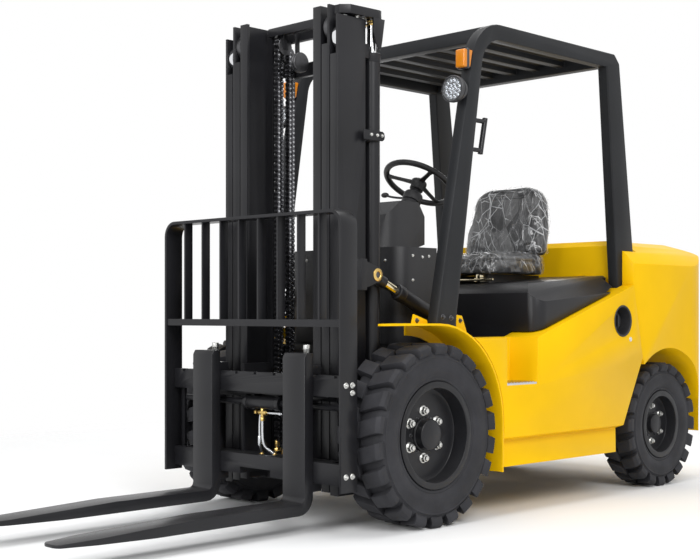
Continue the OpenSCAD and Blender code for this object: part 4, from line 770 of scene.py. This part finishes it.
with piece("head_lamp_shells", LAMPSHELL, "chassis", angle=30, stands_for="head_lamps") as bm:
    for s in SIDES:
        lathe(bm, lamp_shell(), (LAMP_X, s * LAMP_Y, LAMP_Z), 96, "X")
with piece("head_lamp_cups", MIRROR, "chassis", angle=40) as bm:
    for s in SIDES:
        for u, v in [(0, 0)] + ring(16, 6) + ring(33, 12, 0.5):
            lathe(bm, [(0, 63), (3.4, 63.6), (6.0, 67), (7.6, 72), (7.9, 72), (7.9, 62.6), (0, 62.6)],
                  (LAMP_X, s * LAMP_Y + u, LAMP_Z + v), 20, "X")
with piece("head_lamp_glass", LENS, "chassis") as bm:
    for s in SIDES:
        lathe(bm, [(0, 74.2), (47.2, 74.2), (47.2, 76.2), (30, 77.4), (0, 78)],
              (LAMP_X, s * LAMP_Y, LAMP_Z), 64, "X")
rounded("turn_signals", AMBER, 0.007, 4)
with piece("turn_signal_bases", LAMPSHELL, "chassis", 0.004, 3) as bm:
    for y in (SIGNAL_IN, -GUARD_FACE):
        block(bm, (-268, y, 1808), (-252, y + GUARD_FACE - SIGNAL_IN, 1890))
rounded("rear_lamps", RED, 0.005, 3)


# Steering wheel, stalk and levers

HUB, WHEEL_LEAN = (-572, 0, 1408), -32
COLUMN = Matrix.Translation(T(*HUB)) @ Matrix.Rotation(math.radians(WHEEL_LEAN), 4, "Y")
WHEEL_R, GRIP_R, GRIP_H = 155, 13.6, 12.6

with piece("steering_wheel_skin", GRIP, "steering_wheel", 0.0018, 3, 40, COLUMN, "steering_wheel") as bm:
    grip = [(WHEEL_R + GRIP_R * math.cos(a), GRIP_H * math.sin(a)) for a in
            [2 * math.pi * i / 20 for i in range(20)]]
    lathe(bm, grip + [grip[0]], ORIGIN, 128, "Z")
    bmesh.ops.remove_doubles(bm, verts=bm.verts, dist=1e-6)
    lathe(bm, [(16.6, -40), (27, -40), (31, -36), (31, -20), (35, -14), (37, -4), (36, 5), (30, 10),
               (18, 12.5), (0, 13)], ORIGIN, 64, "Z")
    for degrees in (60, 180, 300):
        spoke = bmesh.new()
        prism(spoke, [(26, -13), (70, -9.5), (120, -9), (152, -14), (152, 14), (120, 9), (70, 9.5), (26, 13)],
              -7, 3, "Z")
        merge(bm, spoke, Matrix.Rotation(math.radians(degrees), 4, "Z") @ Matrix.Translation(-T(0, 0, 0)))
with piece("spinner_knob", GRIP, "steering_wheel", angle=50, matrix=COLUMN) as bm:
    lathe(bm, [(0, 10), (9, 10), (9, 30), (7, 34), (7, 36), (14, 38), (19, 44), (20.5, 52), (18.5, 61),
               (13, 68), (6, 71.5), (0, 72)], (-SHIFT - 93, 124, 0), 48, "Z")
with piece("column_shroud", PLASTIC, "chassis", 0.0015, matrix=COLUMN) as bm:
    lathe(bm, [(34.6, -104), (42, -104), (44, -100), (44, -70), (40, -62), (33, -58), (17, -56)],
          ORIGIN, 64, "Z")
    lathe(bm, [(34.6, -210), (40, -206), (42, -180), (42, -108), (34.6, -104)], ORIGIN, 64, "Z")
stalk = [COLUMN @ (Vector(p) / 1000) for p in
         ((8, -40, -84), (12, -90, -84), (16, -130, -76), (18, -160, -66))]
tube("column_stalk", [(p.x * 1000 - SHIFT, p.y * 1000, p.z * 1000) for p in stalk], 5, PLASTIC, "chassis")
with piece("column_stalk_knob", PLASTIC, "chassis") as bm:
    bmesh.ops.create_uvsphere(bm, u_segments=24, v_segments=14, radius=0.012)
    knob = Matrix.Translation(stalk[-1]) @ Matrix.Diagonal((1, 1.8, 1, 1))
    bmesh.ops.transform(bm, matrix=knob, verts=bm.verts)

LEVERS = [(-240, -165 - i * 40.25, 1095) for i in (1, 2, 3)]
BOOT_FOLDS = 4

with piece("lever_knobs", GRIP, "chassis", angle=50) as bm:
    for spot in LEVERS:
        lathe(bm, [(0, 98), (9, 98), (11, 104), (17, 112), (19, 122), (16.5, 133), (9, 140), (0, 141)],
              spot, 40, "Z")
with piece("lever_boots", GRIP, "chassis", angle=50) as bm:
    boot = [(0, 0), (30, 0), (30, 3)]
    for k in range(BOOT_FOLDS):
        boot += [(27 - 5 * k, 5 + 6 * k), (22 - 4.5 * k, 8 + 6 * k)]
    for spot in LEVERS:
        lathe(bm, boot + [(7.4, 32), (0, 32)], spot, 40, "Z")

COWL_FRONT, COWL_SIDE = -76, 326

with piece("dash_bolts", ZINC, "chassis", 0.0005) as bm:
    for s in SIDES:
        for y, z in ((60, 1052), (110, 1052), (160, 1055), (210, 1052), (120, 980), (40, 984), (250, 1040)):
            bolt(bm, (COWL_FRONT, s * y, z), (1, 0, 0), 5, 3, y)
        for x, z in ((-160, 1060), (-220, 1056), (-160, 960), (-260, 1060)):
            bolt(bm, (x, s * COWL_SIDE, z), (0, s, 0), 5, 3, x)


# Fuel recess on the left, with its cap and lock

FUEL_X, FUEL_Z = -1290, 790
LOCK_X, LOCK_Z = -1352, 706

with piece("fuel_recess", PLASTIC, "chassis", 0.002, 2, 40) as bm:
    lathe(bm, [(72, 600.1), (72, 602), (69, 603.4), (64, 601), (63, 597), (63, 543), (0, 543), (0, 541),
               (65.4, 541), (65.4, 600.1), (72, 600.1)], (FUEL_X, 0, FUEL_Z), 96)
    lathe(bm, [(0, 543), (40, 543), (42, 546), (42, 560), (39, 564), (26, 565), (0, 566)],
          (FUEL_X, 0, FUEL_Z), 64)
    block(bm, (FUEL_X - 6, 562, FUEL_Z - 26), (FUEL_X + 6, 578, FUEL_Z + 26))
with piece("panel_lock", ZINC, "chassis", 0.0005) as bm:
    lathe(bm, [(0, 599.8), (11, 599.8), (11, 602), (9, 603.6), (0, 603.8)], (LOCK_X, 0, LOCK_Z), 32)
    block(bm, (LOCK_X - 1.2, 603, LOCK_Z - 5), (LOCK_X + 1.2, 604.4, LOCK_Z + 5))


# Steps with raised bars, floor mat, radiator grille, hood catch, seat slides

STEP_IN, STEP_OUT = 462, 590
GRILLE_HALF = 259

with piece("step_bars", STEEL, "chassis", 0.0012) as bm:
    for y in (STEP_IN, -STEP_OUT):
        for i in range(9):
            x = -626 + i * 22
            block(bm, (x, y, 537.5), (x + 9, y + STEP_OUT - STEP_IN, 541))
with piece("floor_mat", GRIP, "chassis", 0.001) as bm:
    block(bm, (-680, -328, 700.4), (-316, 328, 705))
    for i in range(15):
        block(bm, (-674 + i * 24, -318, 704.6), (-662 + i * 24, 318, 708))
with piece("radiator_grille", BLACK, "chassis") as bm:
    for i in range(13):
        z = 498 + i * 32
        prism(bm, [(-2072, z), (-2052, z + 14), (-2048, z + 14), (-2048, z + 11), (-2068, z - 3),
                   (-2072, z - 3)], -GRILLE_HALF, GRILLE_HALF)
    for y in (-GRILLE_HALF, -90, 84, GRILLE_HALF - 6):
        block(bm, (-2052, y, 481), (-2044, y + 6, 899))
with piece("hood_catch", PLASTIC, "hood", 0.002) as bm:
    block(bm, (-689.5, -34, 868), (-682, 34, 896))
    block(bm, (-684, -20, 874), (-674, 20, 880))
with piece("seat_slides", WARM, "hood", 0.001) as bm:
    for y in (-162, 128):
        block(bm, (-858, y, 968), (-806, y + 34, 984))
        block(bm, (-858, y + 6, 984), (-812, y + 28, 1001))
    rod(bm, 5, -190, 240, (-800, 0, 976), 20)


# Clear film that the seat was delivered in

# The film's white is its faint milky tint and also the colour of its painted crease highlights
FILM_COLOR, FILM_IOR = (0.92, 0.93, 0.95, 1), 1.5
# Lean, stretch, scale, width and strength of each layer of painted crease highlights
CREASE_HIGHLIGHTS = ((-0.35, 6.0, 15.0, 0.030, 0.95), (0.12, 7.0, 21.0, 0.036, 0.70), (0.55, 6.0, 17.0, 0.030, 0.85))
FACET_LEAN = 0.45


def long_cells(t, lean, stretch, scale, feature):
    """Cells drawn out along a slanted line, as creases in film run."""
    m = shader_node(t, "Mapping")
    m.vector_type = "TEXTURE"
    m.inputs["Rotation"].default_value = (lean, 0.25, 0.1)
    m.inputs["Scale"].default_value = (1.0, 1.0, stretch)
    t.links.new(shader_node(t, "TexCoord").outputs["Object"], m.inputs["Vector"])
    cells = shader_node(t, "TexVoronoi", Scale=scale)
    cells.feature = feature
    t.links.new(m.outputs[0], cells.inputs["Vector"])
    return cells


def film_material():
    """Crumpled clear film: hardly seen where it is flat, with white painted highlights along its creases."""
    m = bpy.data.materials.new("clear_film")
    m.use_nodes = True
    t = m.node_tree
    link = t.links.new
    p = t.nodes["Principled BSDF"]
    p.inputs["Base Color"].default_value = FILM_COLOR
    p.inputs["IOR"].default_value = FILM_IOR
    place = shader_node(t, "TexCoord").outputs["Object"]

    def cloud(scale):
        n = shader_node(t, "TexNoise", Scale=scale, Detail=2.0)
        link(place, n.inputs["Vector"])
        return n.outputs["Fac"]

    def spread(value, **limits):
        n = shader_node(t, "MapRange", **limits)
        link(value, n.inputs["Value"])
        return n.outputs[0]

    def join(operation, a, b):
        n = shader_node(t, "Math", operation)
        for i, v in enumerate((a, b)):
            if isinstance(v, (int, float)):
                n.inputs[i].default_value = v
            else:
                link(v, n.inputs[i])
        return n.outputs[0]

    # White lines along the creases: painted highlights standing in for glints, not the film's own colour
    crease_highlights = 0.0
    for lean, stretch, scale, width, strength in CREASE_HIGHLIGHTS:
        edge = long_cells(t, lean, stretch, scale, "DISTANCE_TO_EDGE").outputs["Distance"]
        line = spread(edge, From_Min=0.0, From_Max=width, To_Min=strength, To_Max=0.0)
        # The painted crease highlights fade in and out along their run
        some = spread(cloud(scale * 0.45), From_Min=0.38, From_Max=0.66)
        crease_highlights = join("MAXIMUM", crease_highlights, join("MULTIPLY", line, some))
    # A faint white veil in patches: partly the film's own milkiness, partly painted sheen
    film_patches = cloud(11.0)
    milk_and_painted_sheen = spread(film_patches, From_Min=0.45, From_Max=0.75, To_Min=0.02, To_Max=0.10)
    link(join("MAXIMUM", join("MULTIPLY", crease_highlights, 0.8), milk_and_painted_sheen), p.inputs["Alpha"])
    link(spread(film_patches, To_Min=0.08, To_Max=0.26), p.inputs["Roughness"])
    return m


def film_shine(material):
    """The film's gloss on what it covers: flat facets that each lean their own way."""
    t = material.node_tree
    link = t.links.new
    p = t.nodes["Principled BSDF"]
    p.inputs["Coat Weight"].default_value = 0.6
    p.inputs["Coat IOR"].default_value = 1.8
    p.inputs["Coat Roughness"].default_value = 0.08
    cells = long_cells(t, 0.15, 3.0, 13.0, "F1")
    lean = shader_node(t, "VectorMath", "MULTIPLY_ADD")
    lean.inputs[1].default_value = (2 * FACET_LEAN,) * 3
    lean.inputs[2].default_value = (-FACET_LEAN,) * 3
    total = shader_node(t, "VectorMath", "ADD")
    unit = shader_node(t, "VectorMath", "NORMALIZE")
    link(cells.outputs["Color"], lean.inputs[0])
    link(shader_node(t, "NewGeometry").outputs["Normal"], total.inputs[0])
    link(lean.outputs[0], total.inputs[1])
    link(total.outputs[0], unit.inputs[0])
    link(unit.outputs[0], p.inputs["Coat Normal"])


film_shine(VINYL)
FILM = film_material()
FILM_GAP = 2.5


def ridge(p, k):
    return max(0.0, 1 - 3.2 * abs(noise.noise(p * k)))


def film(name, src, matrix, open_side):
    """Film over a pad: its cover, open where the pad rests, lifted and creased. Area is that of the cut."""
    bm = bmesh.new()
    bm.from_mesh(src.data)
    bmesh.ops.delete(bm, geom=[f for f in bm.faces if open_side(f)], context="FACES")
    bm.normal_update()
    for v in bm.verts:
        p = v.co
        rise = FILM_GAP + 5.0 * ridge(p, 9) + 3.0 * ridge(p + Vector((7, 0, 0)), 21) + 1.2 * ridge(p, 47)
        v.co = p + v.normal * rise / 1000
    bmesh.ops.transform(bm, matrix=matrix, verts=bm.verts)
    obj = add(name, bm, FILM, "hood", angle=80)


# Seat: stuffed covers of the cushion and the back

VOXEL = 0.006
PRESSURE, CLOTH_FRAMES = 4, 20
SEAM_DEPTH, SEAM_WIDTH = 0.005, 0.006
NO_SEAM = 1.0


def swell(obj, held, shape, cap):
    """Blows a cover up as cloth, with its base held. No point moves further than the cap."""
    m = obj.modifiers.new("remesh", "REMESH")
    m.mode = "VOXEL"
    m.voxel_size = VOXEL
    apply_all(obj)
    for v in obj.data.vertices:
        v.co = shape(v.co)
    start = [v.co.copy() for v in obj.data.vertices]
    g = obj.vertex_groups.new(name="held")
    g.add([i for i, c in enumerate(start) if held(c)], 1.0, "REPLACE")
    c = obj.modifiers.new("cloth", "CLOTH")
    c.settings.vertex_group_mass = "held"
    c.settings.quality = 4
    c.settings.mass = 0.3
    c.settings.use_pressure = True
    c.settings.uniform_pressure_force = PRESSURE
    c.settings.effector_weights.gravity = 0
    c.point_cache.frame_start = 1
    c.point_cache.frame_end = CLOTH_FRAMES
    for f in range(1, CLOTH_FRAMES + 1):
        scene.frame_set(f)
    done = obj.evaluated_get(bpy.context.evaluated_depsgraph_get())
    moved = [v.co.copy() for v in done.data.vertices]
    obj.modifiers.remove(c)
    scene.frame_set(1)
    for v, a, b in zip(obj.data.vertices, start, moved):
        d = b - a
        v.co = a + d * min(1.0, cap / max(d.length, 1e-9))
    obj.vertex_groups.clear()


def seams(obj, lines):
    """Sewn channels: points near a line sink along their normals."""
    me = obj.data
    normals = [v.normal.copy() for v in me.vertices]
    for v, n in zip(me.vertices, normals):
        d = min(line(v.co, n) for line in lines)
        v.co -= n * SEAM_DEPTH * math.exp(-(d / SEAM_WIDTH) ** 2)


def finish_pad(obj, matrix, node, lines):
    m = obj.modifiers.new("fine", "SUBSURF")
    m.levels = 1
    apply_all(obj)
    seams(obj, lines)
    obj.data.transform(matrix)
    for f in obj.data.polygons:
        f.use_smooth = True
    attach(obj, "hood")
    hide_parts(node)


def arc(cx, cy, r, start, n):
    """Points on a quarter of a circle, from an angle in degrees."""
    turns = [math.radians(start + 90 * i / n) for i in range(n + 1)]
    return [(cx + r * math.cos(a), cy + r * math.sin(a)) for a in turns]


def bulge(d, width):
    return math.exp(-(d / width) ** 2)


def cushion():
    """The cushion, drawn about the middle of its underside."""
    half_x, half_y, r = 221, 230, 80
    outline = (arc(half_x - r, half_y - r, r, 0, 8) + arc(-half_x + r, half_y - r, r, 90, 8)
               + arc(-half_x + r, -half_y + r, r, 180, 8) + arc(half_x - r, -half_y + r, r, 270, 8))
    bm = bmesh.new()
    prism(bm, [(x - SHIFT, y) for x, y in outline], 2, 88, "Z")
    bmesh.ops.recalc_face_normals(bm, faces=bm.faces)
    pad = add("seat_cushion_cover", bm, VINYL, None, 0.024, 4, 40, smooth=False)

    def shape(p):
        x, y, z = p * 1000
        if z > 40:
            # Bolsters, a hollow between them and a front edge that rolls down
            up = (z - 40) / 48
            z += up * (7 * bulge(abs(y) - 190, 40) - 7 * bulge(y, 120) - 10 * max(0, (x - 140) / 80) ** 2)
        return Vector((x, y, z)) / 1000

    swell(pad, lambda c: c.z < 0.006, shape, 0.011)
    at = Matrix.Translation(T(-1031, 0, 1004.4))
    film("cushion_film", pad, at, lambda f: f.normal.z < -0.6)
    finish_pad(pad, at, "seat_cushion", [
        lambda p, n: abs(abs(p.y) - 0.135) if n.z > 0.2 else NO_SEAM,
        lambda p, n: abs(p.x - 0.155) if n.z > 0.1 and abs(p.y) < 0.135 else NO_SEAM,
        lambda p, n: abs(p.z - 0.062) if n.z < 0.75 else NO_SEAM])


def back():
    """The back, drawn upright with its front towards +X."""
    half, top, r = 226, 346, 118
    side = [(half, 4), (half + 2, 120)] + arc(half - 16 - r, top - r, r, 0, 9)
    bm = bmesh.new()
    prism(bm, side + [(-y, z) for y, z in reversed(side)], -SHIFT - 76, -SHIFT - 10, "X")
    bmesh.ops.recalc_face_normals(bm, faces=bm.faces)
    pad = add("seat_back_cover", bm, VINYL, None, 0.022, 4, 40, smooth=False)

    def shape(p):
        x, y, z = p * 1000
        if x > -50:
            # Bolsters, a hollow between them and a swell at the loins
            ahead = (x + 50) / 40
            x += ahead * (9 * bulge(abs(y) - 175, 38) - 9 * bulge(y, 105) + 5 * bulge(z - 110, 70))
        return Vector((x, y, z)) / 1000

    swell(pad, lambda c: c.x < -0.072 or c.z < 0.008, shape, 0.009)
    lean = Matrix.Translation(T(-1162, 0, 1104.5)) @ Matrix.Rotation(math.radians(-10), 4, "Y")
    film("back_film", pad, lean, lambda f: f.normal.z < -0.7)
    finish_pad(pad, lean, "seat_back", [
        lambda p, n: abs(abs(p.y) - 0.120 + 0.02 * (p.z - 0.17) / 0.17) if n.x > 0.2 else NO_SEAM,
        lambda p, n: abs(p.z - 0.285) if n.x > 0.2 and abs(p.y) < 0.11 else NO_SEAM,
        lambda p, n: abs(p.x + 0.038) if n.x < 0.7 else NO_SEAM])


cushion()
back()
